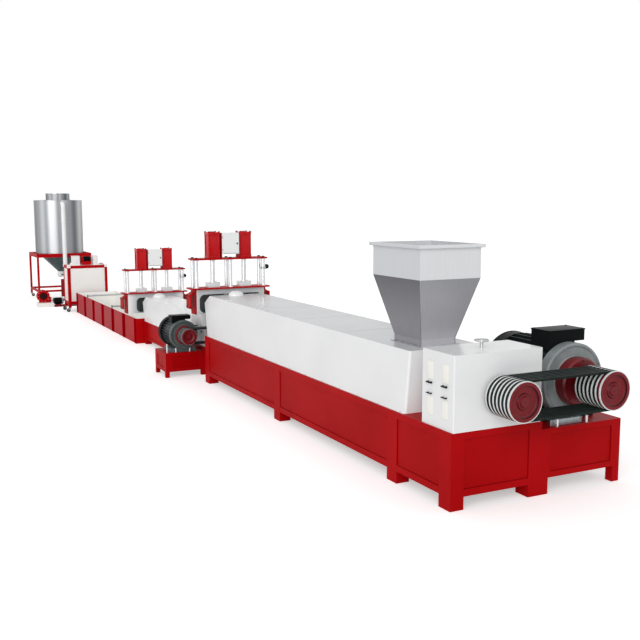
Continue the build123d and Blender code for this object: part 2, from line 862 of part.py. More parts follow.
def build_cylinders(centre, table):
    """Tie-rod cylinders on the head plate, hollow for their pistons."""
    foot = table + press_stroke_space + press_plate / 2
    tube = cylinder_height - 2 * cylinder_flange_height
    rod_place = cylinder_flange / 2 - tie_rod_inset
    with BuildPart() as cylinders:
        for side in (1, -1):
            y = y_at(side * cylinder_spacing)
            for level in (foot, foot + cylinder_height - cylinder_flange_height):
                with BuildSketch(Plane.XY.offset(level)):
                    with Locations((centre, y)):
                        RectangleRounded(cylinder_flange, cylinder_flange, cylinder_corner)
                extrude(amount=cylinder_flange_height)
            with BuildSketch(Plane.XY.offset(foot + cylinder_flange_height)):
                with Locations((centre, y)):
                    Circle(cylinder_diameter / 2)
                    with GridLocations(2 * rod_place, 2 * rod_place, 2, 2):
                        Circle(tie_rod / 2)
                    Circle(cylinder_diameter / 2 - cylinder_wall, mode=Mode.SUBTRACT)
            extrude(amount=tube)
            with BuildSketch(Plane.XY.offset(foot)):
                with Locations((centre, y)):
                    Circle(rod_diameter / 2 + bore_gap)
            extrude(amount=cylinder_flange_height, mode=Mode.SUBTRACT)
    return cylinders


def build_rod(centre, table, side):
    """Piston, rod and ram block as one sliding piece, at rest on the table."""
    foot = table + press_plate / 2 + running_gap
    gland = table + press_stroke_space + press_plate / 2
    piston_foot = gland + cylinder_flange_height + stop_gap
    with BuildPart() as rod:
        with BuildSketch(Plane.XY.offset(foot)):
            with Locations((centre, y_at(side * cylinder_spacing))):
                Rectangle(ram_depth, ram_width)
        extrude(amount=ram_height)
        chamfer(rod.edges().group_by(Axis.Z)[-1], length=ram_chamfer)
        with BuildSketch(Plane.XY.offset(foot + ram_height)):
            with Locations((centre, y_at(side * cylinder_spacing))):
                Circle(rod_diameter / 2)
        extrude(amount=piston_foot - foot - ram_height)
        with BuildSketch(Plane.XY.offset(piston_foot)):
            with Locations((centre, y_at(side * cylinder_spacing))):
                Circle(cylinder_diameter / 2 - cylinder_wall - bore_gap)
        extrude(amount=piston_height)
    return rod


def build_control_box(centre, table):
    """Control box held between two brackets, with a door sheet on its front."""
    bottom = table + press_stroke_space + press_plate / 2 + control_box_lift
    with BuildPart() as box:
        with Locations((centre + box_forward, y_at(0), bottom + control_box_height / 2)):
            Box(control_box_depth, control_box_width, control_box_height)
        with Locations((centre + box_forward + control_box_depth / 2 + box_door / 2, y_at(0),
                        bottom + control_box_height / 2)):
            Box(box_door, control_box_width - 2 * box_door_edge, control_box_height - 2 * box_door_edge)
    return box


def build_barrel_end(centre, table, shoulder, hood):
    """Barrel nose with its bolting flange, from the hood to the back of the housing's recess."""
    axis_height = table - press_plate / 2 - housing_height + housing_floor + portal_height / 2
    back = centre - housing_depth / 2 + housing_back
    with BuildPart() as nose:
        with BuildSketch(across(back, y_at(0), axis_height)):
            Circle(barrel_radius)
        extrude(amount=shoulder + cover_chamfer - back)
        with BuildSketch(across(back, y_at(0), axis_height)):
            Circle(barrel_flange_radius)
        extrude(amount=barrel_flange)
        add(hood.part, mode=Mode.SUBTRACT)
    return nose


presses = ((x_at(-main_length - main_press_gap), main_press_table),
           (x_at(second_end - second_press_gap), second_press_table))
keep_group([build_housing(*press, width) for press, width
            in zip(presses, (main_portal_width, second_portal_width))], "screen_changer_housings")
keep_group([build_side_plates(*press) for press in presses], "screen_changer_side_plates")
keep_group([build_press_plates(*press) for press in presses], "press_plates")
keep_group([build_columns(*press) for press in presses], "press_columns")
keep_group([build_cylinders(*press) for press in presses], "press_cylinders")
keep_group([build_control_box(*press) for press in presses], "press_control_boxes")
keep_group([build_barrel_end(*press, shoulder, hood) for press, shoulder, hood
            in zip(presses, (main_shoulder, second_shoulder), (main_hood, second_hood))], "barrel_ends")
for stage, press in zip(("main", "second"), presses):
    keep(build_rod(*press, -1), f"{stage}_press_front_rod")
    keep(build_rod(*press, 1), f"{stage}_press_back_rod")

# Cooling tank: trough with folded lips, end plates, and posts along both sides
tank_middle = x_at(tank_near - tank_length / 2)
with BuildPart() as tank_trough:
    with BuildSketch(across(x_at(tank_near - tank_length), y_at(0))):
        for side in (1, -1):
            with Locations((side * (tank_width - tank_wall) / 2, tank_height / 2)):
                Rectangle(tank_wall, tank_height)
            with Locations((side * (tank_width - tank_lip) / 2, tank_height - tank_wall / 2)):
                Rectangle(tank_lip, tank_wall)
        with Locations((0, tank_floor_height)):
            Rectangle(tank_width - 2 * tank_wall, tank_wall)
    extrude(amount=tank_length)
keep(tank_trough, "tank_trough")

with BuildPart() as tank_ends:
    end_height = tank_height - tank_wall - tank_floor_height - tank_wall / 2
    end_middle = tank_floor_height + tank_wall / 2 + end_height / 2
    with Locations((tank_middle - tank_length / 2 + tank_wall / 2, y_at(0), end_middle),
                   (tank_middle + tank_length / 2 - tank_wall / 2, y_at(0), end_middle)):
        Box(tank_wall, tank_width - 2 * tank_wall, end_height)
keep(tank_ends, "tank_ends")

tank_pitch = (tank_length - tank_post) / tank_bay_count
with BuildPart() as tank_posts:
    with BuildSketch(Plane.XY):
        with Locations((tank_middle, y_at(0))):
            with GridLocations(tank_pitch, tank_width + tank_post_depth, tank_bay_count + 1, 2):
                Rectangle(tank_post, tank_post_depth)
    extrude(amount=tank_height)
keep(tank_posts, "tank_posts")


def build_roller(x):
    """Strand roller across the tank, turned down to journals at its ends."""
    half = tank_width / 2 - tank_lip - roller_end_gap
    journal = tank_width / 2
    with BuildPart() as roller:
        with Locations(Plane(origin=(x, y_at(0), tank_roller_height), z_dir=(0, 1, 0))):
            Cylinder(tank_roller_diameter / 2, 2 * half)
            Cylinder(journal_diameter / 2, 2 * journal)
    return roller


roller_stations = [x_at(tank_near - start) for start in tank_roller_starts]
for name, station in zip(("near", "far"), roller_stations):
    keep(build_roller(station), f"tank_roller_{name}")

with BuildPart() as bearings:
    for station in roller_stations:
        for side in (1, -1):
            with BuildSketch(Plane(origin=(station, y_at(side * (tank_width - tank_lip) / 2),
                                           tank_roller_height), x_dir=(1, 0, 0), z_dir=(0, -1, 0))):
                with Locations((0, (tank_height - tank_roller_height) / 2)):
                    Rectangle(roller_bearing, tank_roller_height - tank_height)
                Circle(roller_bearing / 2)
                Circle(journal_diameter / 2 + bore_gap, mode=Mode.SUBTRACT)
            extrude(amount=bearing_width / 2, both=True)
keep(bearings, "tank_roller_bearings")

# Strand cutter: tube frame with corner blocks, closed by sheets, with its motor between two boxes
cutter_x = x_at(cutter_front - cutter_length / 2)
cutter_y = y_at(cutter_offset)
cutter_deck = cutter_top - cutter_beam_drop
beam_foot = cutter_foot + cutter_beam_rise
ring_length = cutter_length - cutter_corner + cutter_tube
ring_width = cutter_width - cutter_corner + cutter_tube
corner_spacing = (cutter_length - cutter_corner, cutter_width - cutter_corner)
with BuildPart() as cutter_corners:
    with BuildSketch(Plane.XY.offset(cutter_top - cutter_corner)):
        with Locations((cutter_x, cutter_y)):
            with GridLocations(*corner_spacing, 2, 2):
                Rectangle(cutter_corner, cutter_corner)
    extrude(amount=cutter_corner)
keep(cutter_corners, "cutter_corners")

with BuildPart() as cutter_frame:
    with BuildSketch(Plane.XY.offset(cutter_foot)):
        with Locations((cutter_x, cutter_y)):
            with GridLocations(*corner_spacing, 2, 2):
                Rectangle(cutter_tube, cutter_tube)
    extrude(amount=cutter_deck - cutter_foot)
    for level in (beam_foot, cutter_deck - cutter_tube):
        with BuildSketch(Plane.XY.offset(level)):
            with Locations((cutter_x, cutter_y)):
                Rectangle(ring_length, ring_width)
                Rectangle(ring_length - 2 * cutter_tube, ring_width - 2 * cutter_tube,
                          mode=Mode.SUBTRACT)
        extrude(amount=cutter_tube)
    add(cutter_corners.part, mode=Mode.SUBTRACT)
keep(cutter_frame, "cutter_frame")

panel_height = cutter_deck - beam_foot - 2 * cutter_tube
panel_middle = middle(cutter_deck, beam_foot)
with BuildPart() as cutter_panels:
    for side in (1, -1):
        with Locations((cutter_x + side * (ring_length / 2 - cutter_sheet / 2 - sheet_recess),
                        cutter_y, panel_middle)):
            Box(cutter_sheet, ring_width - 2 * cutter_tube, panel_height)
        with Locations((cutter_x, cutter_y + side * (ring_width / 2 - cutter_sheet / 2 - sheet_recess),
                        panel_middle)):
            Box(ring_length - 2 * cutter_tube, cutter_sheet, panel_height)
    with Locations((cutter_x, cutter_y, cutter_deck - cutter_sheet / 2)):
        Box(ring_length - 2 * cutter_tube, ring_width - 2 * cutter_tube, cutter_sheet)
    add(cutter_corners.part, mode=Mode.SUBTRACT)
    with BuildSketch(Plane.XY.offset(cutter_deck)):
        for offset, width in cutter_boxes:
            with Locations((cutter_x, y_at(offset))):
                Rectangle(cutter_box_length, width)
    extrude(amount=cutter_box_height)
keep(cutter_panels, "cutter_panels")

cutter_motor_height = cutter_deck + cutter_saddle + cutter_motor_radius
with BuildPart() as cutter_motor:
    with BuildSketch(Plane(origin=(cutter_x, y_at(cutter_motor_offset), cutter_motor_height),
                           x_dir=(1, 0, 0), z_dir=(0, -1, 0))):
        Circle(cutter_motor_radius)
    extrude(amount=cutter_motor_length / 2, both=True)
    chamfer(cutter_motor.edges(), length=cutter_sheet)
keep(cutter_motor, "cutter_motor")

with BuildPart() as cutter_saddle_block:
    with BuildSketch(Plane(origin=(cutter_x, y_at(cutter_motor_offset), cutter_deck),
                           x_dir=(1, 0, 0), z_dir=(0, -1, 0))):
        with BuildLine():
            Polyline((-cutter_saddle_foot * cutter_motor_radius, 0),
                     (cutter_saddle_foot * cutter_motor_radius, 0),
                     (cutter_motor_radius, cutter_saddle + cutter_motor_radius / 2),
                     (-cutter_motor_radius, cutter_saddle + cutter_motor_radius / 2), close=True)
        make_face()
        with Locations((0, cutter_saddle + cutter_motor_radius)):
            Circle(cutter_motor_radius, mode=Mode.SUBTRACT)
    extrude(amount=cutter_motor_length / 2 - 2 * cutter_sheet, both=True)
keep(cutter_saddle_block, "cutter_motor_saddle")

# Silo: shell of barrel and cone, roof with an open neck, outlet valve, and a stand
silo_x = x_at(silo_centre)
silo_y = y_at(silo_offset)
silo_turning = Axis((silo_x, silo_y, 0), (0, 0, 1))
silo_section = Plane(origin=(silo_x, silo_y, 0), x_dir=(1, 0, 0), z_dir=(0, -1, 0))
riser_x = silo_x + silo_radius + riser_gap + riser_radius
with BuildPart() as silo_shell:
    with BuildSketch(silo_section):
        with BuildLine():
            Polyline((silo_radius - silo_wall, silo_top), (silo_radius, silo_top), (silo_radius, silo_seat),
                     (silo_cone_radius, silo_seat), (silo_outlet_radius, silo_cone_tip),
                     (silo_outlet_radius - silo_wall, silo_cone_tip + silo_wall),
                     (silo_cone_radius - silo_wall, silo_seat + silo_wall),
                     (silo_radius - silo_wall, silo_seat + silo_wall), close=True)
        make_face()
    revolve(axis=silo_turning)
    with BuildSketch(across(silo_x, silo_y, silo_top - riser_drop)):
        Circle(riser_radius + running_gap)
    extrude(amount=2 * silo_radius, mode=Mode.SUBTRACT)
keep(silo_shell, "silo_shell")

with BuildPart() as silo_roof:
    with BuildSketch(silo_section):
        with BuildLine():
            Polyline((silo_radius, silo_top), (silo_radius, silo_top + silo_wall),
                     (silo_neck_radius, silo_top + silo_roof_rise), (silo_neck_radius, silo_neck_top),
                     (silo_neck_radius - silo_wall, silo_neck_top),
                     (silo_neck_radius - silo_wall, silo_top + silo_roof_rise - silo_wall),
                     (silo_radius - silo_wall, silo_top), close=True)
        make_face()
    revolve(axis=silo_turning)
keep(silo_roof, "silo_roof")

valve_foot = silo_cone_tip - silo_outlet_height
valve_neck = silo_cone_tip - valve_neck_share * silo_outlet_height
with BuildPart() as silo_outlet:
    with BuildSketch(silo_section):
        with BuildLine():
            Polyline((0, valve_foot), (0, silo_cone_tip), (silo_outlet_radius, silo_cone_tip),
                     (silo_outlet_radius, valve_neck))
            ThreePointArc((silo_outlet_radius, valve_neck),
                          (silo_outlet_radius + valve_bulge, middle(valve_neck, valve_foot)),
                          (valve_throat, valve_foot))
            Line((valve_throat, valve_foot), (0, valve_foot))
        make_face()
    revolve(axis=silo_turning)
keep(silo_outlet, "silo_outlet")

with BuildPart() as silo_stand:
    with BuildSketch(Plane.XY.offset(stand_foot)):
        with Locations((silo_x, silo_y)):
            with GridLocations(2 * stand_half_length, 2 * stand_half_width, 2, 2):
                Rectangle(stand_tube, stand_tube)
    extrude(amount=silo_seat - stand_foot)
    stand_length = 2 * stand_half_length + stand_tube
    stand_width = 2 * stand_half_width + stand_tube
    for level, height in ((silo_seat - stand_beam, stand_beam), (stand_tie_height, stand_tube)):
        with BuildSketch(Plane.XY.offset(level)):
            with Locations((silo_x, silo_y)):
                Rectangle(stand_length, stand_width)
                Rectangle(stand_length - 2 * stand_tube, stand_width - 2 * stand_tube,
                          mode=Mode.SUBTRACT)
        extrude(amount=height)
keep(silo_stand, "silo_stand")

# Blower with its motor on a plate, and the pipe from it up the silo's side
blower_centre = (x_at(blower_x), y_at(blower_y))
blower_height = blower_plate + blower_radius + blower_wall
outlet_height = blower_height - blower_radius + riser_radius + blower_wall
with BuildPart() as blower_scroll:
    with BuildSketch(across(blower_centre[0] - blower_width / 2, blower_centre[1], blower_height)):
        Circle(blower_radius)
        with Locations((0, middle(blower_plate - blower_height, -blower_radius / 2))):
            Rectangle(blower_foot, blower_height - blower_plate - blower_radius / 2)
        with Locations((blower_radius / 2 + blower_nose / 2, outlet_height - blower_height)):
            Rectangle(blower_radius + blower_nose, 2 * (riser_radius + blower_wall))
    extrude(amount=blower_width)
    with BuildSketch(across(blower_centre[0] + blower_width / 2, blower_centre[1], blower_height)):
        Circle(blower_inlet_radius + blower_wall)
        Circle(blower_inlet_radius, mode=Mode.SUBTRACT)
    extrude(amount=blower_wall)
keep(blower_scroll, "blower_scroll")

riser_y = silo_y
route = [(blower_centre[0], blower_centre[1] + blower_radius + blower_nose, outlet_height),
         (blower_centre[0], riser_y, outlet_height),
         (riser_x, riser_y, outlet_height),
         (riser_x, riser_y, silo_top - riser_drop),
         (silo_x + silo_radius - riser_reach, riser_y, silo_top - riser_drop)]
with BuildPart() as riser:
    with BuildLine() as riser_line:
        FilletPolyline(*route, radius=riser_bend)
    with BuildSketch(Plane(origin=route[0], z_dir=(0, 1, 0))):
        Circle(riser_radius)
    sweep(path=riser_line.wire())
keep(riser, "riser_pipe")

motor_x = blower_centre[0] + blower_width / 2 + blower_motor_radius
motor_y = blower_centre[1] + blower_motor_shift
rails_x = [motor_x + side * blower_rail_spread / 2 for side in (1, -1)]
base_x = blower_centre[0] + blower_motor_radius
base_high = blower_centre[1] - blower_radius + blower_base_length
with BuildPart() as blower_motor:
    with BuildSketch(Plane(origin=(motor_x, motor_y, blower_rail_height + blower_bracket
                                   + blower_motor_radius), z_dir=(0, 1, 0))):
        Circle(blower_motor_radius)
    extrude(amount=blower_motor_length)
    chamfer(blower_motor.edges(), length=cutter_sheet)
keep(blower_motor, "blower_motor")

with BuildPart() as blower_base:
    with BuildSketch(Plane.XY):
        with Locations((base_x, base_high - blower_base_length / 2)):
            Rectangle(blower_base_width, blower_base_length)
    extrude(amount=blower_plate)
keep(blower_base, "blower_base")

# Rails from the blower's base that carry its motor on a cross bracket, and the riser's post
with BuildPart() as blower_rails:
    with BuildSketch(Plane.XY):
        with Locations([(rail_x, base_high + blower_rail_length / 2) for rail_x in rails_x]):
            Rectangle(blower_rail, blower_rail_length)
    extrude(amount=blower_rail_height)
    with Locations((motor_x, motor_y + blower_motor_length / 2, blower_rail_height + blower_bracket / 2)):
        Box(blower_rail_spread + blower_rail, blower_motor_length / 2, blower_bracket)
with BuildPart() as riser_support:
    with BuildSketch(Plane.XY):
        with Locations((riser_x, riser_y - riser_radius - running_gap - support_tube / 2)):
            Rectangle(support_foot, support_foot)
    extrude(amount=support_foot_plate)
    with BuildSketch(Plane.XY.offset(support_foot_plate)):
        with Locations((riser_x, riser_y - riser_radius - running_gap - support_tube / 2)):
            Rectangle(support_tube, support_tube)
    extrude(amount=support_height - support_foot_plate)
keep_group([blower_rails, riser_support], "blower_frame")


def build_fork(x, y, top, trail):
    """Caster fork: a top plate under the leg, with two cheeks that reach out to the axle."""
    cheek = caster_width / 2 + caster_gap
    with BuildPart() as fork:
        with Locations((x, y, top - caster_plate / 2)):
            Box(2 * (cheek + caster_cheek), caster_mount, caster_plate)
        for side in (1, -1):
            with BuildSketch(across(x + side * (cheek + caster_cheek / 2), y)):
                with BuildLine():
                    Polyline((-caster_mount / 2, top - caster_plate), (caster_mount / 2, top - caster_plate),
                             (trail + caster_boss, caster_radius), (trail, caster_radius - caster_boss),
                             (trail - caster_boss, caster_radius), close=True)
                make_face()
            extrude(amount=caster_cheek / 2, both=True)
    return fork


def build_wheel(x, y, top, trail):
    """Caster wheel on a stub axle that reaches both cheeks."""
    with BuildPart() as wheel:
        with Locations(Plane(origin=(x, y + trail, caster_radius), z_dir=(1, 0, 0))):
            Cylinder(caster_radius, caster_width)
            Cylinder(caster_axle, caster_width + 2 * caster_gap)
    return wheel


caster_places = []
for x, y, half_x, half_y, top, trail in (
        (cutter_x, cutter_y, corner_spacing[0] / 2, corner_spacing[1] / 2, cutter_foot, -caster_trail),
        (silo_x, silo_y, stand_half_length, stand_half_width, stand_foot, caster_trail)):
    for along in (1, -1):
        for side in (1, -1):
            caster_places.append((x + along * half_x, y + side * half_y, top, trail))
keep_group([build_fork(*place) for place in caster_places], "caster_forks")
keep_group([build_wheel(*place) for place in caster_places], "caster_wheels")
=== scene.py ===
from itertools import product
from math import cos, pi, radians, sin, tau

import bmesh
import bpy
from mathutils import Matrix, Vector


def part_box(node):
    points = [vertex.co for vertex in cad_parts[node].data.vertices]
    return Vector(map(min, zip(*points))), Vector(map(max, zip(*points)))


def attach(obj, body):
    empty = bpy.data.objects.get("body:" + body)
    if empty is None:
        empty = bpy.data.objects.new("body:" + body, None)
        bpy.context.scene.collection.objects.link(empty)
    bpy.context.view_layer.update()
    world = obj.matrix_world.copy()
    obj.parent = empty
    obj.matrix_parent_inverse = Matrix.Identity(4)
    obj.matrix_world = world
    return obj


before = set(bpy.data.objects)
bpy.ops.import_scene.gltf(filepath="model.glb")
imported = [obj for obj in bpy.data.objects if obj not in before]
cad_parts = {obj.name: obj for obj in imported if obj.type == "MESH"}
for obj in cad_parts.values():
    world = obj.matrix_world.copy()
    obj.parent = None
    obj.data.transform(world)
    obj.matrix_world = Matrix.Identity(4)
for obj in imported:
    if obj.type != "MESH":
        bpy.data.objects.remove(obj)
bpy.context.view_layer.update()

scene = bpy.context.scene

# Camera: the photograph's place, direction and lens
camera_place = Vector((17.260, -5.3619, 2.8745))
camera_yaw = 1.1038
camera_pitch = 0.1327
camera_roll = -0.0013
photo_width = 640
focal_pixels = 882.23
sensor_width = 36.0

camera_data = bpy.data.cameras.new("camera")
camera_data.sensor_width = sensor_width
camera_data.lens = focal_pixels / photo_width * sensor_width
camera_data.clip_end = 200
camera = bpy.data.objects.new("camera", camera_data)
scene.collection.objects.link(camera)
camera.matrix_world = (Matrix.Translation(camera_place) @ Matrix.Rotation(camera_yaw, 4, "Z")
                       @ Matrix.Rotation(pi / 2 - camera_pitch, 4, "X")
                       @ Matrix.Rotation(camera_roll, 4, "Z"))
scene.camera = camera
scene.view_settings.view_transform = "Standard"


def round_part(node):
    """The middle and radius of a node that is round about an axis along X."""
    low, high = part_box(node)
    return (low + high) / 2, (high.z - low.z) / 2


def linear(code):
    """Colour sockets take linear light, so a hex sRGB colour is turned once here."""
    channels = [int(code[i:i + 2], 16) / 255 for i in (1, 3, 5)]
    return tuple(c / 12.92 if c <= 0.04045 else ((c + 0.055) / 1.055) ** 2.4
                 for c in channels) + (1.0,)


def add_node(tree, kind, values=None, links=None, **settings):
    """Adds a shader node with its settings, socket values and incoming links."""
    node = tree.nodes.new(kind)
    for name, value in settings.items():
        setattr(node, name, value)
    for socket, value in (values or {}).items():
        node.inputs[socket].default_value = value
    for socket, source in (links or {}).items():
        tree.links.new(source, node.inputs[socket])
    return node


def start_finish(name, roughness, shine=0.5, metallic=0.0):
    """A new material with its shader; the object's own metres give every pattern its place."""
    finish = bpy.data.materials.new(name)
    finish.use_nodes = True
    tree = finish.node_tree
    tree.nodes.clear()
    shader = add_node(tree, "ShaderNodeBsdfPrincipled", {
        "Roughness": roughness, "Specular IOR Level": shine, "Metallic": metallic})
    add_node(tree, "ShaderNodeOutputMaterial", links={"Surface": shader.outputs["BSDF"]})
    return finish, tree, add_node(tree, "ShaderNodeTexCoord").outputs["Object"]


def cloud(tree, place, size, detail, stretch):
    """Soft noise of a given size in metres."""
    spread = add_node(tree, "ShaderNodeMapping", {"Scale": stretch}, {"Vector": place})
    return add_node(tree, "ShaderNodeTexNoise", {"Scale": 1 / size, "Detail": detail},
                    {"Vector": spread.outputs["Vector"]}).outputs["Fac"]


def end_finish(finish, place, colour, size=1.0, depth=0.0, stretch=(1, 1, 1), strength=0.5):
    """Gives a material its colour and its fine relief, of a size and depth in metres."""
    tree = finish.node_tree
    shader = next(node for node in tree.nodes if node.type == "BSDF_PRINCIPLED")
    tree.links.new(colour, shader.inputs["Base Color"])
    if depth:
        relief = add_node(tree, "ShaderNodeBump", {"Distance": depth, "Strength": strength},
                          {"Height": cloud(tree, place, size, 2.0, stretch)})
        tree.links.new(relief.outputs["Normal"], shader.inputs["Normal"])
    return finish


def drift(tree, place, size, first, second, low=0.35, high=0.65, stretch=(1, 1, 1)):
    """Colour that drifts between two shades over a given size in metres."""
    ramp = add_node(tree, "ShaderNodeValToRGB",
                    links={"Fac": cloud(tree, place, size, 4.0, stretch)})
    for element, stop, shade in zip(ramp.color_ramp.elements, (low, high), (first, second)):
        element.position, element.color = stop, linear(shade)
    return ramp.outputs["Color"]


def maths(tree, operation, *terms):
    """The result of a maths node, whose terms are numbers or sockets."""
    numbers = {i: term for i, term in enumerate(terms) if isinstance(term, (int, float))}
    sockets = {i: term for i, term in enumerate(terms) if i not in numbers}
    return add_node(tree, "ShaderNodeMath", numbers, sockets, operation=operation).outputs[0]


def rescale(tree, value, start, end, low=0.0, high=1.0):
    """A value between start and end turned into one between low and high, and held there."""
    return add_node(tree, "ShaderNodeMapRange",
                    {"From Min": start, "From Max": end, "To Min": low, "To Max": high},
                    {"Value": value}).outputs[0]


def axes(tree, place):
    """The X, Y and Z of a place."""
    return add_node(tree, "ShaderNodeSeparateXYZ", links={"Vector": place}).outputs


def below(tree, value, edge):
    """A mask: 1 where the value is under an edge."""
    return maths(tree, "LESS_THAN", value, edge)


def above(tree, value, edge):
    """A mask: 1 where the value is over an edge."""
    return maths(tree, "GREATER_THAN", value, edge)


def both(tree, first, second):
    """A mask where two masks overlap."""
    return maths(tree, "MULTIPLY", first, second)


def between(tree, value, low, high):
    """A mask: 1 where the value is between two edges."""
    return both(tree, above(tree, value, low), below(tree, value, high))


def from_middle(tree, value, middle):
    """How far a value is from a middle, to either side."""
    return maths(tree, "ABSOLUTE", maths(tree, "SUBTRACT", value, middle))


def lay_over(tree, mask, under, over):
    """One colour over another where the mask is 1."""
    mix = add_node(tree, "ShaderNodeMix", links={0: mask, 6: under, 7: over}, data_type="RGBA")
    return mix.outputs[2]


def enamel(name, shade, lighter, roughness=0.42, shine=0.06):
    """Sprayed two-coat machine enamel on steel sheet: a semi-gloss skin with faint clouding from
    the gun and an orange-peel relief. The peel is 3 mm across on the real thing and is drawn at
    12 mm, because it wouldn't show."""
    finish, tree, place = start_finish(name, roughness, shine)
    colour = drift(tree, place, 0.9, shade, lighter)
    return end_finish(finish, place, colour, 0.012, 0.0002, strength=0.2)


red_enamel = enamel("red_machine_enamel", "#A40206", "#AE060C")
base_sheet_red = enamel("red_sheet_enamel", "#A00104", "#AA050A")
# Painted shade: dark red for the beads along the base sheets' recess edges
recess_shade_red = enamel("dark_red_recess_shade_enamel", "#7E0206", "#8A0509")
strap_red = enamel("flat_red_strap_enamel", "#8A000A", "#92020D", 0.9, 0.0)
white_enamel = enamel("white_machine_enamel", "#E6E7E8", "#ECEDED", 0.2, 0.5)
cream_enamel = enamel("cream_door_enamel", "#F1F0E8", "#F5F4EE", 0.4, 0.4)
panel_enamel = enamel("off_white_panel_enamel", "#EAE7E4", "#F0EEEB", 0.36, 0.4)
pipe_enamel = enamel("white_pipe_enamel", "#E3E5E6", "#EFF0F0", 0.28, 0.4)
black_enamel = enamel("black_motor_enamel", "#090B0C", "#111415", 0.4, 0.06)
cylinder_red = enamel("glossy_cylinder_red_enamel", "#B4000A", "#BE0610", 0.2, 0.25)
bracket_red = enamel("wine_red_bracket_enamel", "#6E0A14", "#7C0E19", 0.4, 0.2)


# How far behind a face its own paint still counts: cast parts, tank sheet and covers
cast_skin, tank_skin, cover_skin = 0.002, 0.0025, 0.003


def cover_enamel(node):
    """White machine enamel whose flat top is painted grey, as painted shade."""
    finish, tree, place = start_finish("white_cover_enamel_shaded_on_top", 0.25, 0.4)
    white = drift(tree, place, 0.9, "#E6E7E8", "#ECEDED")
    # Painted shade: a duller grey for the cover's flat top
    shaded_top = drift(tree, place, 0.9, "#C4C6C8", "#CACCCE")
    on_top = above(tree, axes(tree, place)["Z"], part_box(node)[1].z - cover_skin)
    colour = lay_over(tree, on_top, white, shaded_top)
    return end_finish(finish, place, colour, 0.012, 0.0002, strength=0.2)


def cast_paint(name, shade, lighter, roughness=0.5, shine=0.25):
    """Brushed-on paint over sand-cast iron: a satin skin over the sand's lumps, which are 2 mm on
    the real thing and are drawn at 9 mm."""
    finish, tree, place = start_finish(name, roughness, shine)
    colour = drift(tree, place, 0.25, shade, lighter)
    return end_finish(finish, place, colour, 0.009, 0.0006)


bearing_grey = cast_paint("grey_cast_bearing_paint", "#5F6665", "#727978")
flange_red = cast_paint("dark_red_flange_paint", "#5E0710", "#74101A", 0.36, 0.4)
# Moulded rubber of knobs and grips, with a faint bloom
black_rubber = cast_paint("moulded_black_rubber", "#0B0C0C", "#161818", 0.55)
# Black-oxided steel nuts on the cylinder tie rods
oxide_nuts = cast_paint("black_oxide_nuts", "#241A1B", "#332728", 0.45)
# Black paint for the discs behind the cowl grilles and in the blower's mouth, as painted shade
shade_black = cast_paint("painted_shade_black_paint", "#050606", "#0B0C0C", 0.8, 0.1)


def metal(name, shade, lighter, roughness, size, stretch, depth=0.0001):
    """Bare metal whose tool or rolling marks run one way, stretched along that way."""
    finish, tree, place = start_finish(name, roughness, metallic=1.0)
    colour = drift(tree, place, size, shade, lighter, 0.3, 0.7, stretch)
    return end_finish(finish, place, colour, size / 4, depth, stretch, 0.2)


# Chrome-plated ground bar: a smooth bright skin, a shade duller where hands and oil reach it
hard_chrome = metal("hard_chrome_bar", "#E6E8EA", "#F2F3F4", 0.3, 0.25, (1, 1, 1), 0)
# Turned mild steel: silky rings left by the tool
turned_steel = metal("turned_mild_steel", "#B4B6B7", "#D6D7D7", 0.34, 0.03, (5, 1, 1))
# Zinc-plated bolts, dull and slightly blue
zinc_bolts = metal("zinc_plated_fasteners", "#A6ABAE", "#C8CCCE", 0.38, 0.01, (1, 1, 1))
# Ground flat bar under the motor, grey with a blue cast
ground_bar = metal("ground_flat_bar", "#A5AFB3", "#C0C9CC", 0.4, 0.06, (1, 5, 1))


hopper_taper_share = 0.67
# Painted shade and reflection: shoulder, throat and upright shades for the side and end walls
hopper_lit_and_shaded_walls = {
    "side": (("#67686C", "#6C6D71"), ("#97959A", "#9C9A9F"), ("#CED1D4", "#D2D5D7")),
    "end": (("#A3A4A9", "#A8A9AE"), ("#C4C2C8", "#C8C7CC"), ("#DCDEE0", "#DFE1E2"))}


def hopper_steel():
    """Stainless sheet with a brushed mill finish, its grain running down the sheet. Painted light
    makes the upright box lighter than the tapered walls, the taper lighter towards its throat,
    and the end walls paler than the side walls, as painted shade and reflection.
    The brush lines are under 1 mm apart and are drawn at 20 mm."""
    low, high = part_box("hopper")
    bend = low.z + hopper_taper_share * (high.z - low.z)
    finish, tree, place = start_finish("brushed_hopper_stainless", 0.4, metallic=0.35)
    centre, ratio = (low + high) / 2, (high.y - low.y) / (high.x - low.x)
    middle = add_node(tree, "ShaderNodeMapping", {"Location": (-centre.x * ratio, -centre.y, 0),
                                                  "Scale": (ratio, 1, 1)}, {"Vector": place})
    aside = add_node(tree, "ShaderNodeVectorMath", links={0: middle.outputs["Vector"]},
                     operation="ABSOLUTE").outputs[0]
    reach = axes(tree, aside)
    # Painted light: the end walls get the paler set of shades
    end_wall = above(tree, reach["X"], reach["Y"])
    height = axes(tree, place)["Z"]
    fall = rescale(tree, height, bend, low.z)
    walls = []
    for shades in hopper_lit_and_shaded_walls.values():
        shoulder, throat, upright = (drift(tree, place, 0.02, *pair, 0.3, 0.7, (1, 1, 0.02))
                                     for pair in shades)
        taper = lay_over(tree, fall, shoulder, throat)
        walls.append(lay_over(tree, above(tree, height, bend), taper, upright))
    colour = lay_over(tree, end_wall, *walls)
    return end_finish(finish, place, colour, 0.01, 0.0001, (1, 1, 0.02), 0.08)
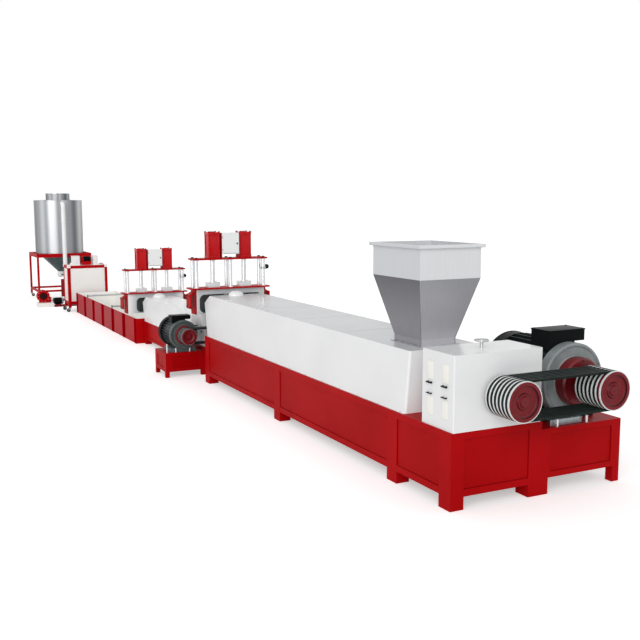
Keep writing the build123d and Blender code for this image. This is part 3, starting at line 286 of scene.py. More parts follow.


# Where each band of painted reflection lies round the barrel, as a share of a turn
dark_reflection, grey_reflection, bright_reflection = "#74777B", "#A2A5A9", "#D0D2D4"
silo_reflection_bands = (
    (0.0, grey_reflection), (0.05, bright_reflection), (0.10, grey_reflection), (0.15, bright_reflection),
    (0.20, dark_reflection), (0.27, dark_reflection), (0.32, grey_reflection), (0.36, bright_reflection),
    (0.39, grey_reflection), (0.42, bright_reflection), (0.45, bright_reflection), (0.472, grey_reflection),
    (0.50, bright_reflection), (0.545, grey_reflection), (0.582, dark_reflection), (0.635, bright_reflection),
    (0.70, dark_reflection), (0.80, bright_reflection), (0.86, dark_reflection), (0.93, bright_reflection))


def silo_steel(name, metallic, roughness, lightness):
    """Bright-rolled stainless sheet with painted reflections: upright bands of lighter and darker
    sheet round the barrel, and painted shade making the cone below the seat a darker grey-green."""
    low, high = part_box("silo_shell")
    centre = (low + high) / 2
    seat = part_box("silo_stand")[1].z
    finish, tree, place = start_finish(name, roughness, metallic=metallic)
    around = add_node(tree, "ShaderNodeMapping", {"Location": (-centre.x, -centre.y, 0)},
                      {"Vector": place}).outputs["Vector"]
    parts = axes(tree, around)
    angle = maths(tree, "ARCTAN2", parts["Y"], parts["X"])
    # Painted reflection: lighter and darker upright bands by the angle round the barrel
    bands = add_node(tree, "ShaderNodeValToRGB", links={"Fac": rescale(tree, angle, -pi, pi)})
    ramp = bands.color_ramp
    ramp.interpolation = "EASE"
    for _ in silo_reflection_bands[2:]:
        ramp.elements.new(0.5)
    for element, (stop, shade) in zip(ramp.elements, silo_reflection_bands):
        element.position, element.color = stop, linear(shade)
    barrel = add_node(tree, "ShaderNodeHueSaturation", {"Value": lightness},
                      {"Color": bands.outputs["Color"]}).outputs[0]
    # Painted shade: a darker grey-green for the cone below the seat
    cone = drift(tree, place, 0.2, "#46575A", "#566769")
    colour = lay_over(tree, below(tree, parts["Z"], seat), barrel, cone)
    return end_finish(finish, place, colour, 0.02, 0.0001, (1, 1, 0.05), 0.2)


# Rings of painted shade on a pulley's painted face where it steps, as shares of its radius
shaded_rings = ((0.74, 0.80), (0.37, 0.42), (0.24, 0.27))
# How far behind a pulley's front its paint reaches
painted_depth = 0.06


def pulley_iron(node, rim_shades, painted_share):
    """Cast-iron pulley: bare turned rims, near-black grooves, and a face painted dark red nearly to
    its edge with rings of painted shade. The place of each is its distance from the shaft."""
    axis, radius = round_part(node)
    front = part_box(node)[1].x
    finish, tree, place = start_finish(f"{node}_turned_and_painted_iron", 0.38, 0.3)
    flat = add_node(tree, "ShaderNodeMapping", {"Location": (0, -axis.y, -axis.z),
                                                "Scale": (0, 1, 1)}, {"Vector": place})
    distance = add_node(tree, "ShaderNodeVectorMath", links={0: flat.outputs["Vector"]},
                        operation="LENGTH").outputs["Value"]
    along = axes(tree, place)["X"]
    rings = drift(tree, place, 0.03, *rim_shades, 0.3, 0.7, (6, 1, 1))
    groove = drift(tree, place, 0.03, "#0E1514", "#1A2322", 0.3, 0.7, (6, 1, 1))
    paint = drift(tree, place, 0.08, "#680D15", "#77141D")
    # Painted shade: a darker red for the rings where the face steps
    ring_shade = drift(tree, place, 0.05, "#43070D", "#510A11")
    share = maths(tree, "DIVIDE", distance, radius)
    for inner, outer in shaded_rings:
        paint = lay_over(tree, between(tree, share, inner, outer), paint, ring_shade)
    painted = both(tree, below(tree, share, painted_share),
                   above(tree, along, front - painted_depth))
    colour = lay_over(tree, above(tree, along, front - cast_skin), groove, rings)
    colour = lay_over(tree, above(tree, share, 1 - cast_skin / radius), colour, rings)
    colour = lay_over(tree, painted, colour, paint)
    return end_finish(finish, place, colour, 0.006, 0.0002, (6, 1, 1), 0.3)


def belt_rubber():
    """Wrapped V-belt: near-black rubber with a green cast and its canvas wrap's weave, which is
    1 mm on the real belt and is drawn at 6 mm."""
    finish, tree, place = start_finish("canvas_wrapped_belt_rubber", 0.6, 0.15)
    colour = drift(tree, place, 0.15, "#0E1716", "#18231F")
    return end_finish(finish, place, colour, 0.006, 0.0006, (1, 1, 1), 0.6)


# Backs of the two smooth shields that face the pulleys, and a place between the two motors
main_shield_back, between_motors, second_shield_back = 10.425, 5.2125, 3.268


def motor_paint():
    """Two sprayed paints on a cast motor: near-black over the cooling ribs and a grey on the
    smooth shield that faces the pulley, darker on the small motor."""
    finish, tree, place = start_finish("black_ribs_and_grey_shield_paint", 0.4, 0.35)
    ribs = drift(tree, place, 0.25, "#141B1B", "#222A2A")
    shield = drift(tree, place, 0.25, "#757C7D", "#8B9192")
    slate = drift(tree, place, 0.25, "#424B4B", "#59625F")
    along = axes(tree, place)["X"]
    second = between(tree, along, second_shield_back, between_motors)
    front = maths(tree, "MAXIMUM", above(tree, along, main_shield_back), second)
    shield = lay_over(tree, second, shield, slate)
    colour = lay_over(tree, front, ribs, shield)
    return end_finish(finish, place, colour, 0.009, 0.0006)


def foot_paint():
    """Near-black paint on the large motor's foot and grey-green paint on the small one's."""
    finish, tree, place = start_finish("black_and_grey_green_foot_paint", 0.5, 0.25)
    black = drift(tree, place, 0.25, "#101716", "#1A2221")
    grey_green = drift(tree, place, 0.25, "#566465", "#66757A")
    small = below(tree, axes(tree, place)["X"], between_motors)
    colour = lay_over(tree, small, black, grey_green)
    return end_finish(finish, place, colour, 0.009, 0.0006)


# The recess round the barrel in a screen changer's front
recess_depth, recess_back, recess_lip = 0.210, 0.030, 0.004
second_half_opening, main_half_opening = 0.410, 0.540


def changer_paint(node):
    """White enamel outside; the recess round the barrel is painted dark with a green cast as
    painted shade, which thins to a grey at its sides and on the front face beside it.
    The recess is told by its depth behind each housing's front."""
    finish, tree, place = start_finish("white_enamel_with_shaded_recess", 0.36)
    white = drift(tree, place, 0.9, "#E4E5E6", "#EAEBEB")
    # Painted shade: dark green-grey inside the recess and a grey fringe round its edges
    recess_shade = drift(tree, place, 0.3, "#353E3C", "#525B59", 0.3, 0.7, (1, 0.6, 1))
    shade_fringe = drift(tree, place, 0.3, "#8E979A", "#A0A8AA")
    parts = axes(tree, place)
    low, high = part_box(node)
    fronts = (high.x, low.x + recess_depth)
    inside = maths(tree, "MAXIMUM", *(
        between(tree, parts["X"], front - recess_depth + recess_back, front - recess_lip)
        for front in fronts))
    front_face = maths(tree, "MAXIMUM", *(
        between(tree, parts["X"], front - recess_lip, front + recess_lip) for front in fronts))
    aside = from_middle(tree, parts["Y"], (low.y + high.y) / 2)
    on_main = above(tree, parts["X"], (low.x + high.x) / 2)
    half_opening = rescale(tree, on_main, 0.0, 1.0, second_half_opening, main_half_opening)
    past_edge = maths(tree, "SUBTRACT", aside, half_opening)
    recess_shade = lay_over(tree, rescale(tree, past_edge, -0.13, 0.0), recess_shade, shade_fringe)
    fading = rescale(tree, past_edge, 0.14, 0.0, 0.0, 0.7)
    white = lay_over(tree, both(tree, front_face, fading), white, shade_fringe)
    inner = below(tree, aside, (high.y - low.y) / 2 - cast_skin)
    under = below(tree, parts["Z"], high.z - cast_skin)
    colour = lay_over(tree, both(tree, both(tree, inside, inner), under), white, recess_shade)
    return end_finish(finish, place, colour, 0.012, 0.0004)


# How far along the tank its red stays deep before painted sheen pales it
deep_red_reach = 2.2


def tank_paint():
    """Red enamel on the outside of the trough, deep at the end by the barrel and paled further on
    by painted sheen, and cream enamel inside, where the water runs."""
    low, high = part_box("tank_trough")
    finish, tree, place = start_finish("two_tone_tank_enamel", 0.4, 0.08)
    # Painted sheen: a paler, pinker red further along the side
    sheened_red = drift(tree, place, 0.9, "#A0262E", "#AA3037")
    deep_red = drift(tree, place, 0.9, "#AC0407", "#B2080C")
    inside = drift(tree, place, 0.6, "#EEEDE8", "#F4F3F0")
    parts = axes(tree, place)
    outside = lay_over(tree, rescale(tree, parts["X"], high.x, high.x - deep_red_reach), deep_red, sheened_red)
    aside = from_middle(tree, parts["Y"], (low.y + high.y) / 2)
    water_side = both(tree, between(tree, parts["X"], low.x + tank_skin, high.x - tank_skin),
                      below(tree, aside, (high.y - low.y) / 2 - tank_skin))
    colour = lay_over(tree, water_side, outside, inside)
    return end_finish(finish, place, colour, 0.012, 0.0003, strength=0.3)


stages = ("main", "second")
pulleys = [f"{stage}_{shaft}_pulley" for stage in stages for shaft in ("driven", "motor")]
silo_stainless = silo_steel("bright_rolled_silo_stainless", 0.5, 0.3, 0.92)
roof_stainless = silo_steel("dull_rolled_roof_stainless", 0.2, 0.5, 0.78)
cover_white = cover_enamel("main_barrel_cover")
brushed_stainless = hopper_steel()
wrapped_rubber = belt_rubber()
motor_black, foot_black = motor_paint(), foot_paint()
changer_white = changer_paint("screen_changer_housings")
tank_enamel = tank_paint()
finishes = {node: finish for finish, nodes in (
    (red_enamel, "extruder_base_frames extruder_base_feet motor_base_frames motor_base_feet "
                 "screen_changer_side_plates press_plates cutter_frame cutter_motor_saddle "
                 "silo_stand blower_scroll"),
    (base_sheet_red, "extruder_base_panels motor_base_panels"),
    (cylinder_red, "press_cylinders"), (strap_red, "tank_posts"), (bracket_red, "blower_frame"),
    (flange_red, "motor_flanges"), (tank_enamel, "tank_trough tank_ends"),
    (cover_white, "main_barrel_cover"),
    (white_enamel, "main_gearbox second_gearbox second_barrel_cover press_control_boxes"),
    (changer_white, "screen_changer_housings"),
    (panel_enamel, "cutter_corners cutter_panels blower_base"),
    (pipe_enamel, "silo_outlet riser_pipe"),
    (motor_black, "motor_bodies"), (foot_black, "motor_feet"),
    (black_enamel, "motor_fan_cowls motor_terminal_boxes cutter_motor blower_motor"),
    (bearing_grey, "tank_roller_bearings"), (black_rubber, "caster_wheels"),
    (wrapped_rubber, "main_belts second_belts"),
    (hard_chrome, "motor_jack_bolts press_columns"), (ground_bar, "motor_slide_rails"),
    (turned_steel, "gearbox_breather barrel_ends tank_roller_near tank_roller_far"),
    (zinc_bolts, "caster_forks"), (brushed_stainless, "hopper"),
    (silo_stainless, "silo_shell"), (roof_stainless, "silo_roof"),
) for node in nodes.split()}
for stage, side in product(stages, ("front", "back")):
    finishes[f"{stage}_press_{side}_rod"] = hard_chrome
for pulley in pulleys:
    # Painted shade: the small pulleys' bare rims are a darker grey than the large ones'
    rim = (("#C9CCCC", "#E4E6E6"), 0.955) if "main" in pulley else (("#8C9191", "#A6AAAA"), 0.98)
    finishes[pulley] = pulley_iron(pulley, *rim)
for node, finish in finishes.items():
    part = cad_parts[node]
    part.data.materials.clear()
    part.data.materials.append(finish)


# Edges that turn by more than this many degrees stay sharp
crease = 40


def shapes(count):
    """Empty meshes to build pieces in."""
    return [bmesh.new() for _ in range(count)]


def finish_piece(name, shape, finish, body="line"):
    """Turns a mesh into a named piece with its finish, smooth but for its real edges."""
    mesh = bpy.data.meshes.new(name)
    bmesh.ops.recalc_face_normals(shape, faces=shape.faces)
    shape.to_mesh(mesh)
    shape.free()
    mesh.polygons.foreach_set("use_smooth", [True] * len(mesh.polygons))
    mesh.set_sharp_from_angle(angle=radians(crease))
    mesh.materials.append(finish)
    piece = bpy.data.objects.new(name, mesh)
    scene.collection.objects.link(piece)
    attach(piece, body)


def facing(place, direction):
    """Turns +Z to a direction and moves it to a place."""
    turn = Vector((0, 0, 1)).rotation_difference(Vector(direction))
    return Matrix.Translation(place) @ turn.to_matrix().to_4x4()


def ring_places(place, direction, radius, count, start=0.0, height=0.0):
    """Places spaced evenly on a circle about an axis."""
    frame_of = facing(place, direction)
    turns = [start + tau * i / count for i in range(count)]
    return [frame_of @ Vector((radius * cos(turn), radius * sin(turn), height)) for turn in turns]


def turn_profile(shape, place, direction, profile, steps=24):
    """Turned form: a profile of (radius, height) pairs swept round an axis at a place."""
    rings = []
    for radius, height in profile:
        if rings and (radius, height) == profile[0]:
            rings.append(rings[0])
        else:
            count = 1 if radius < 1e-6 else steps
            rings.append([shape.verts.new(point) for point in
                          ring_places(place, direction, radius, count, height=height)])
    for lower, upper in zip(rings, rings[1:]):
        for i in range(steps):
            j = (i + 1) % steps
            corners = [lower[i % len(lower)], lower[j % len(lower)],
                       upper[j % len(upper)], upper[i % len(upper)]]
            corners = [c for k, c in enumerate(corners) if c not in corners[:k]]
            if len(corners) > 2:
                shape.faces.new(corners)


def hex_bolts(shape, places, direction, width, height):
    """Hexagon heads with a washer and a chamfered top, on a face that looks along a direction."""
    half, washer = width / 2, height * 0.2
    for place in places:
        turn_profile(shape, place, direction,
                     [(0, 0), (half * 1.25, 0), (half * 1.25, washer), (0, washer)], 16)
        turn_profile(shape, place, direction,
                     [(0, washer), (half, washer), (half, height * 0.85),
                      (half * 0.8, height), (0, height)], 6)


def plate(shape, one, other, edge=0.003):
    """Flat plate or block between two opposite corners, with its edges broken."""
    low, high = (Vector([pick(pair) for pair in zip(one, other)]) for pick in (min, max))
    made = bmesh.ops.create_cube(shape, size=1.0)["verts"]
    size = high - low
    for vert in made:
        vert.co = (low + high) / 2 + Vector(c * s for c, s in zip(vert.co, size))
    rims = {e for vert in made for e in vert.link_edges}
    bmesh.ops.bevel(shape, geom=list(rims), offset=min(edge, min(size) * 0.4), segments=2,
                    profile=0.7, affect="EDGES")


def bar(shape, start, end, radius, steps=12):
    """Round bar with broken ends between two points."""
    start, end = Vector(start), Vector(end)
    length = (end - start).length
    rim = min(radius * 0.25, length * 0.2)
    turn_profile(shape, start, end - start,
                 [(0, 0), (radius - rim, 0), (radius, rim), (radius, length - rim),
                  (radius - rim, length), (0, length)], steps)


def hoop(shape, place, direction, radius, thickness, steps=32, sides=8):
    """Round ring of wire or pipe about an axis."""
    tilts = [tau * k / sides for k in range(sides)] + [0.0]
    turn_profile(shape, place, direction,
                 [(radius + thickness * cos(tilt), thickness * sin(tilt)) for tilt in tilts], steps)


def mirrored(place, *spread):
    """The places at plus and minus a spread about a place, along each axis that has one."""
    ways = [(-reach, reach) if reach else (0,) for reach in (*spread, 0, 0)[:3]]
    return [Vector(place) + Vector(step) for step in product(*ways)]


def spaced(low, high, count):
    """Evenly spaced places from one end to the other."""
    return [low + (high - low) * i / (count - 1) for i in range(count)]


def collar(shape, place, direction, inner, outer, height, steps=32):
    """Turned ring with its outer edge broken, on a face that looks along a direction."""
    rim = min(height, outer - inner) * 0.3
    turn_profile(shape, place, direction,
                 [(inner, 0), (outer, 0), (outer, height - rim), (outer - rim, height),
                  (inner, height), (inner, 0)], steps)


east, west = Vector((1, 0, 0)), Vector((-1, 0, 0))
north, south = Vector((0, 1, 0)), Vector((0, -1, 0))
up, down = Vector((0, 0, 1)), Vector((0, 0, -1))
line_y = sum(corner.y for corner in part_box("main_gearbox")) / 2

# Gearboxes: cream doors in their four recesses, black handles as painted shade under and over
# them, and a bearing cover
door_width_share, door_height_share, door_spread = 0.2, 0.25, 0.47
door_gap, handle_gap, cap_height = 0.002, 0.030, 0.018
for stage in stages:
    low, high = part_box(f"{stage}_gearbox")
    centre, size = (low + high) / 2, high - low
    half_x = door_width_share * size.x / 2 - door_gap
    half_z = door_height_share * size.z / 2 - door_gap
    doors, shadow_handles, cap = shapes(3)
    for column, row in product((-1, 1), (-1, 1)):
        x = centre.x + column * door_spread * size.x / 2
        z = centre.z + row * door_spread * size.z / 2
        plate(doors, (x - half_x, low.y + 0.0012, z - half_z),
              (x + half_x, low.y + 0.0055, z + half_z))
        # Painted shade: black handles below the upper doors and above the lower ones
        grip = 0.010 if row > 0 else 0.006
        grip_z = z - row * (half_z + handle_gap)
        for shift in (-0.032, 0.018):
            plate(shadow_handles, (x + shift, low.y - 0.018, grip_z - grip),
                  (x + shift + 0.018, low.y + 0.001, grip_z + grip), 0.004)
        plate(shadow_handles, (x - 0.040, low.y - 0.026, grip_z - grip * 0.7),
              (x + 0.044, low.y - 0.014, grip_z + grip * 0.7), 0.004)
    axis, radius = round_part(f"{stage}_driven_pulley")
    shaft = Vector((high.x, line_y, axis.z))
    collar(cap, shaft, east, 0.34 * radius, 0.80 * radius, cap_height, 48)
    hex_bolts(cap, ring_places(shaft + east * cap_height, east, 0.66 * radius, 8),
              east, 0.02, 0.009)
    finish_piece(f"{stage}_gearbox_doors", doors, cream_enamel)
    finish_piece(f"{stage}_gearbox_shadow_handles", shadow_handles, black_rubber)
    finish_piece(f"{stage}_gearbox_bearing_cover", cap, turned_steel)

# Barrel covers: lapped sheet joints, turned-out feet with screws, and a white dome on top
cover_chamfer, foot_width, foot_height = 0.215, 0.018, 0.004
dome_reach, dome_rise, dome_skirt = 0.125, 0.070, 0.006
for stage, half_top, joints, screws_per_side in (("main", 0.449, 3, 14), ("second", 0.290, 2, 8)):
    low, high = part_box(f"{stage}_barrel_cover")
    trim, screws, dome = shapes(3)
    for x in spaced(low.x + 0.9, high.x - 0.25, joints + 2)[1:-1]:
        plate(trim, (x - 0.02, line_y - half_top + 0.03, high.z - 0.001),
              (x + 0.02, line_y + half_top - 0.03, high.z + 0.0015), 0.001)
    for side in (-1, 1):
        y = line_y + side * (high.y - low.y) / 2
        plate(trim, (low.x + 0.23, y, low.z),
              (high.x - 0.005, y + side * foot_width, low.z + foot_height), 0.001)
        hex_bolts(screws, [(x, y + side * foot_width / 2, low.z + foot_height)
                           for x in spaced(low.x + 0.3, high.x - 0.08, screws_per_side)],
                  up, 0.012, 0.006)
    turns = [pi / 2 * k / 6 for k in range(6)]
    turn_profile(dome, (low.x + cover_chamfer + dome_reach + 0.01, line_y - 0.05, high.z), up,
                 [(0, 0), (dome_reach, 0)]
                 + [(dome_reach * cos(turn), dome_skirt + dome_rise * sin(turn)) for turn in turns]
                 + [(0, dome_skirt + dome_rise)], 32)
    finish_piece(f"{stage}_cover_trim", trim, finishes[f"{stage}_barrel_cover"])
    finish_piece(f"{stage}_cover_screws", screws, zinc_bolts)
    finish_piece(f"{stage}_cover_dome", dome, white_enamel)

# Hopper: wired rim and bolted neck flange
low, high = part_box("hopper")
centre = (low + high) / 2
rim, neck_bolts = shapes(2)
wire, flange = 0.006, 0.006
outer_x, outer_y = (high.x - low.x) / 2 - wire, (high.y - low.y) / 2 - wire
rim_z = high.z - 0.030
throat_x, throat_y, lip = 0.255, 0.219, 0.030
for side in (-1, 1):
    y, x = centre.y + side * outer_y, centre.x + side * outer_x
    bar(rim, (centre.x - outer_x, y, rim_z), (centre.x + outer_x, y, rim_z), wire)
    bar(rim, (x, centre.y - outer_y, rim_z), (x, centre.y + outer_y, rim_z), wire)
    y, x = centre.y + side * (throat_y + lip / 2), centre.x + side * (throat_x + lip / 2)
    plate(rim, (centre.x - throat_x - lip, y - lip / 2, low.z),
          (centre.x + throat_x + lip, y + lip / 2, low.z + flange), 0.002)
    plate(rim, (x - lip / 2, centre.y - throat_y, low.z),
          (x + lip / 2, centre.y + throat_y, low.z + flange), 0.002)
    flange_places = [(along, y) for along in spaced(centre.x - 0.235, centre.x + 0.235, 5)]
    flange_places += [(x, across) for across in spaced(centre.y - 0.19, centre.y + 0.19, 4)]
    hex_bolts(neck_bolts, [(*place, low.z + flange) for place in flange_places], up, 0.012, 0.007)
finish_piece("hopper_rim_and_neck_trim", rim, finishes["hopper"])
finish_piece("hopper_neck_bolts", neck_bolts, zinc_bolts)

# Pulleys: a shaft-end washer and its bolt, which turn with them
for pulley in pulleys:
    axis, radius = round_part(pulley)
    hub_front = max(v.co.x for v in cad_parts[pulley].data.vertices
                    if (v.co - axis).yz.length < 0.27 * radius)
    hub = Vector((hub_front, axis.y, axis.z))
    washer, bolt = shapes(2)
    collar(washer, hub, east, 0.02 * radius, 0.10 * radius, 0.0015)
    hex_bolts(bolt, [hub + east * 0.001], east, 0.09 * radius, 0.003)
    finish_piece(f"{pulley}_washer", washer, flange_red, pulley)
    finish_piece(f"{pulley}_shaft_bolt", bolt, oxide_nuts, pulley)

# Motors: bolts on shield and flange, cowl band and grille, lid and gland on the terminal box
motor_sizes = {
    "main": dict(radius=0.385, front=10.5465, flange=0.125, cowl=0.380, cowl_back=9.5015,
                 box_middle=10.2815, box_half_x=0.139, box_half_y=0.234, box_top=1.576),
    "second": dict(radius=0.240, front=3.3415, flange=0.042, cowl=0.258, cowl_back=2.7065,
                   box_middle=3.1015, box_half_x=0.090, box_half_y=0.158, box_top=1.004)}
grille_shares, grille_wire, mouth_share = (0.12, 0.24, 0.36, 0.48, 0.60), 0.004, 0.66
for stage, size in motor_sizes.items():
    axis, radius = round_part(f"{stage}_motor_pulley")[0], size["radius"]
    front, back = (Vector((size[end], axis.y, axis.z)) for end in ("front", "cowl_back"))
    bolts, flange_bolts, trim, grille, mouth = shapes(5)
    hex_bolts(bolts, ring_places(front, east, 0.93 * radius, 8, pi / 8), east,
              0.06 * radius, 0.010)
    hex_bolts(flange_bolts, ring_places(front + east * size["flange"], east, 0.58 * radius, 8),
              east, 0.055 * radius, 0.008)
    collar(trim, back + east * 0.05, west, size["cowl"] - 0.002, size["cowl"] + 0.004, 0.02, 48)
    mouth_reach = mouth_share * radius
    # Painted shade: a black disc behind the grille stands in for the dark inside the cowl
    turn_profile(mouth, back, west,
                 [(0, -0.001), (mouth_reach, -0.001), (mouth_reach, 0.001), (0, 0.001)], 48)
    for share in grille_shares:
        hoop(grille, back + west * 0.004, west, share * radius, grille_wire, 40, 6)
    hub = back + west * 0.006
    for turn in (tau * k / 6 for k in range(6)):
        bar(grille, hub, hub + Vector((0, cos(turn), sin(turn))) * mouth_reach, grille_wire, 8)
    lid = Vector((size["box_middle"], axis.y, size["box_top"]))
    reach = Vector((size["box_half_x"], size["box_half_y"], 0)) + Vector((0.005, 0.005, 0))
    plate(trim, lid - reach - up * 0.010, lid + reach + up * 0.004)
    hex_bolts(bolts, mirrored(lid + up * 0.004, reach.x - 0.025, reach.y - 0.025),
              up, 0.012, 0.006)
    gland = lid + north * size["box_half_y"] - up * 0.045
    turn_profile(trim, gland, north, [(0, 0), (0.022, 0), (0.022, 0.012), (0.016, 0.016),
                                      (0.016, 0.034), (0.011, 0.038), (0, 0.038)], 16)
    finish_piece(f"{stage}_motor_bolts", bolts, motor_black)
    finish_piece(f"{stage}_motor_flange_bolts", flange_bolts, flange_red)
    finish_piece(f"{stage}_motor_cowl_band_and_lid", trim, black_enamel)
    finish_piece(f"{stage}_motor_cowl_grille", grille, black_enamel)
    finish_piece(f"{stage}_motor_cowl_mouth", mouth, shade_black)

# Presses: nuts and collars of the columns, rod wipers, sleeves round the tie rods with sheet
# jackets between them, ports, ram bolts, box hardware, ball knobs, side plate and flange bolts
press_sizes = {"main": (3.6065, 1.487, 0.685), "second": (-0.7535, 1.013, 0.665)}
stroke_space, half_plate = 0.476, 0.0125
column_x, column_y, rod_y, tie_reach = 0.095, 0.584, 0.273, 0.0865
jacket_reach, jacket_half_width, jacket_half_depth = 0.0858, 0.077, 0.0015
tie_start, tie_length, cylinder_height = 0.046, 0.328, 0.420
port_inset, ram_height, ball_radius, door_half = 0.023, 0.0843, 0.040, 0.1375
for stage, (centre_x, table, ball_y) in press_sizes.items():
    head = table + stroke_space
    deck, soffit, roof = table + half_plate, head - half_plate, head + half_plate
    nuts, collars, caps, tie_nuts = shapes(4)
    for x, y in product((-column_x, column_x), (-column_y, 0, column_y)):
        column = Vector((centre_x + x, line_y + y, 0))
        hex_bolts(nuts, [column + up * roof], up, 0.046, 0.018)
        collar(collars, column + up * deck, up, 0.0305, 0.042, 0.010)
        collar(collars, column + up * soffit, down, 0.0305, 0.042, 0.010)
    for side, name in ((-1, "front"), (1, "back")):
        axis = Vector((centre_x, line_y + side * rod_y, 0))
        collar(collars, axis + up * soffit, down, 0.0385, 0.056, 0.012)
        for place in mirrored(axis + up * (roof + tie_start), tie_reach, tie_reach):
            collar(caps, place, up, 0.0101, 0.0135, tie_length, 16)
        sheet_foot, sheet_top = up * (roof + tie_start), up * (roof + tie_start + tie_length)
        for outward, along in ((east, north), (north, east)):
            half = outward * jacket_half_depth + along * jacket_half_width
            for face in (axis - outward * jacket_reach, axis + outward * jacket_reach):
                plate(caps, face - half + sheet_foot, face + half + sheet_top, 0.001)
        cap = axis + up * (roof + cylinder_height)
        turn_profile(caps, cap, up,
                     [(0, 0), (0.050, 0), (0.050, 0.008), (0.044, 0.012), (0, 0.012)], 32)
        for port_z in (cap.z - port_inset, roof + port_inset):
            bar(caps, (centre_x + 0.100, axis.y, port_z), (centre_x + 0.116, axis.y, port_z), 0.014)
        hex_bolts(tie_nuts, mirrored(cap, tie_reach, tie_reach), up, 0.028, 0.014)
        rod = f"{stage}_press_{name}_rod"
        ram_bolts, = shapes(1)
        ram_top = axis + up * (deck + ram_height)
        hex_bolts(ram_bolts, mirrored(ram_top, 0.055, 0.080), up, 0.016, 0.006)
        collar(ram_bolts, ram_top, up, 0.0382, 0.050, 0.014)
        finish_piece(f"{rod}_bolts", ram_bolts, hard_chrome, rod)
    box_trim, knob, stalk, plate_bolts, flange_bolts = shapes(5)
    door = Vector((centre_x + 0.133, line_y, roof + 0.064))
    for z in (0.07, 0.275):
        hinge = door + Vector((0, -door_half, z))
        bar(box_trim, hinge - up * 0.022, hinge + up * 0.022, 0.005)
    plate(box_trim, door + Vector((-0.001, -door_half, 0.010)),
          door + Vector((0.002, door_half, 0.018)), 0.001)
    turn_profile(knob, door + Vector((0, 0.112, 0.17)), east,
                 [(0, 0), (0.014, 0), (0.014, 0.005), (0.009, 0.009), (0.009, 0.014), (0, 0.014)],
                 20)
    ball = Vector((centre_x, line_y + ball_y, table + 0.320))
    post = Vector((centre_x, line_y + column_y, ball.z))
    bar(stalk, post + Vector((0.06, 0, -0.012)), ball, 0.009)
    collar(stalk, post + Vector((column_x, 0, -0.032)), up, 0.0312, 0.044, 0.036)
    plate(stalk, post + Vector((0.02, -0.012, -0.024)), post + Vector((0.075, 0.012, -0.004)))
    turn_profile(knob, ball, north,
                 [(ball_radius * sin(turn), -ball_radius * cos(turn))
                  for turn in (pi * k / 12 for k in range(13))], 24)
    for side in (-1, 1):
        hex_bolts(plate_bolts, [(centre_x + 0.105, line_y + side * 0.603, z)
                                for z in spaced(table - 0.380, table - 0.045, 6)],
                  east, 0.016, 0.008)
        hex_bolts(plate_bolts, mirrored((centre_x, line_y + side * 0.696, table - 0.200),
                                        0.075, 0, 0.085), north * side, 0.022, 0.012)
    nose = Vector((centre_x - 0.031, line_y, table - half_plate - 0.232))
    hex_bolts(flange_bolts, ring_places(nose, east, 0.125, 10), east, 0.020, 0.012)
    finish_piece(f"{stage}_press_column_nuts", nuts, oxide_nuts)
    finish_piece(f"{stage}_press_collars", collars, hard_chrome)
    finish_piece(f"{stage}_press_cylinder_sleeves_and_ports", caps, cylinder_red)
    finish_piece(f"{stage}_press_tie_rod_nuts", tie_nuts, oxide_nuts)
    finish_piece(f"{stage}_press_box_hinges_and_sill", box_trim, ground_bar)
    finish_piece(f"{stage}_press_knobs", knob, black_rubber)
    finish_piece(f"{stage}_press_knob_stalk", stalk, zinc_bolts)
    finish_piece(f"{stage}_screen_changer_bolts", plate_bolts, oxide_nuts)
    finish_piece(f"{stage}_barrel_flange_bolts", flange_bolts, oxide_nuts)

# Cooling tank: red straps behind its posts, kick plates that close its ends down to the floor,
# and a drain cock on the far side
low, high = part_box("tank_trough")
straps, drain, kick = shapes(3)
half_width = (high.y - low.y) / 2
half_post, strap_reach, strap_depth = 0.031, 0.120, 0.003
trough_wall, floor_underside = 0.005, 0.0875
for x, side in product(spaced(low.x + half_post, high.x - half_post, 7), (-1, 1)):
    y = line_y + side * half_width
    plate(straps, (max(x - strap_reach, low.x), y, low.z + 0.004),
          (min(x + strap_reach, high.x), y + side * strap_depth, high.z - 0.008), 0.001)
for x in (low.x, high.x - trough_wall):
    plate(kick, (x, line_y - half_width + trough_wall, 0),
          (x + trough_wall, line_y + half_width - trough_wall, floor_underside), 0.001)
cock = Vector((low.x + 0.5, line_y + half_width, 0.13))
turn_profile(drain, cock, north, [(0, 0), (0.03, 0), (0.03, 0.01), (0.018, 0.014), (0.018, 0.07),
                                  (0.022, 0.07), (0.022, 0.09), (0, 0.09)], 20)
plate(drain, cock + Vector((-0.006, 0.03, 0.016)), cock + Vector((0.006, 0.085, 0.026)))
finish_piece("tank_post_straps", straps, strap_red)
finish_piece("tank_kick_plates", kick, tank_enamel)
finish_piece("tank_drain_cock", drain, turned_steel)

# Strand cutter: panel screws, box lids, and a finned motor with a red end flange
low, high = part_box("cutter_frame")
cutter = (low + high) / 2
panel_screws, lids, fins, end_flange = shapes(4)
panel_x, panel_y, deck = 0.286, 0.511, 1.220
for side in (-1, 1):
    hex_bolts(panel_screws, [(cutter.x + side * panel_x, cutter.y + y, z)
                             for y in (-0.41, 0, 0.41) for z in (0.33, 1.10)],
              east * side, 0.014, 0.005)
    hex_bolts(panel_screws, [(cutter.x + x, cutter.y + side * panel_y, z)
                             for x in (-0.19, 0.19) for z in (0.33, 0.72, 1.10)],
              north * side, 0.014, 0.005)
for y, half in ((-0.5825, 0.085), (-0.0745, 0.062)):
    plate(lids, (cutter.x - 0.134, y - half - 0.004, deck + 0.232),
          (cutter.x + 0.134, y + half + 0.004, deck + 0.245))
    plate(lids, (cutter.x + 0.130, y - half + 0.02, deck + 0.03),
          (cutter.x + 0.133, y + half - 0.02, deck + 0.205), 0.001)
motor = Vector((cutter.x, -0.3125, 1.358))
motor_radius, motor_end = 0.0838, motor + south * 0.120
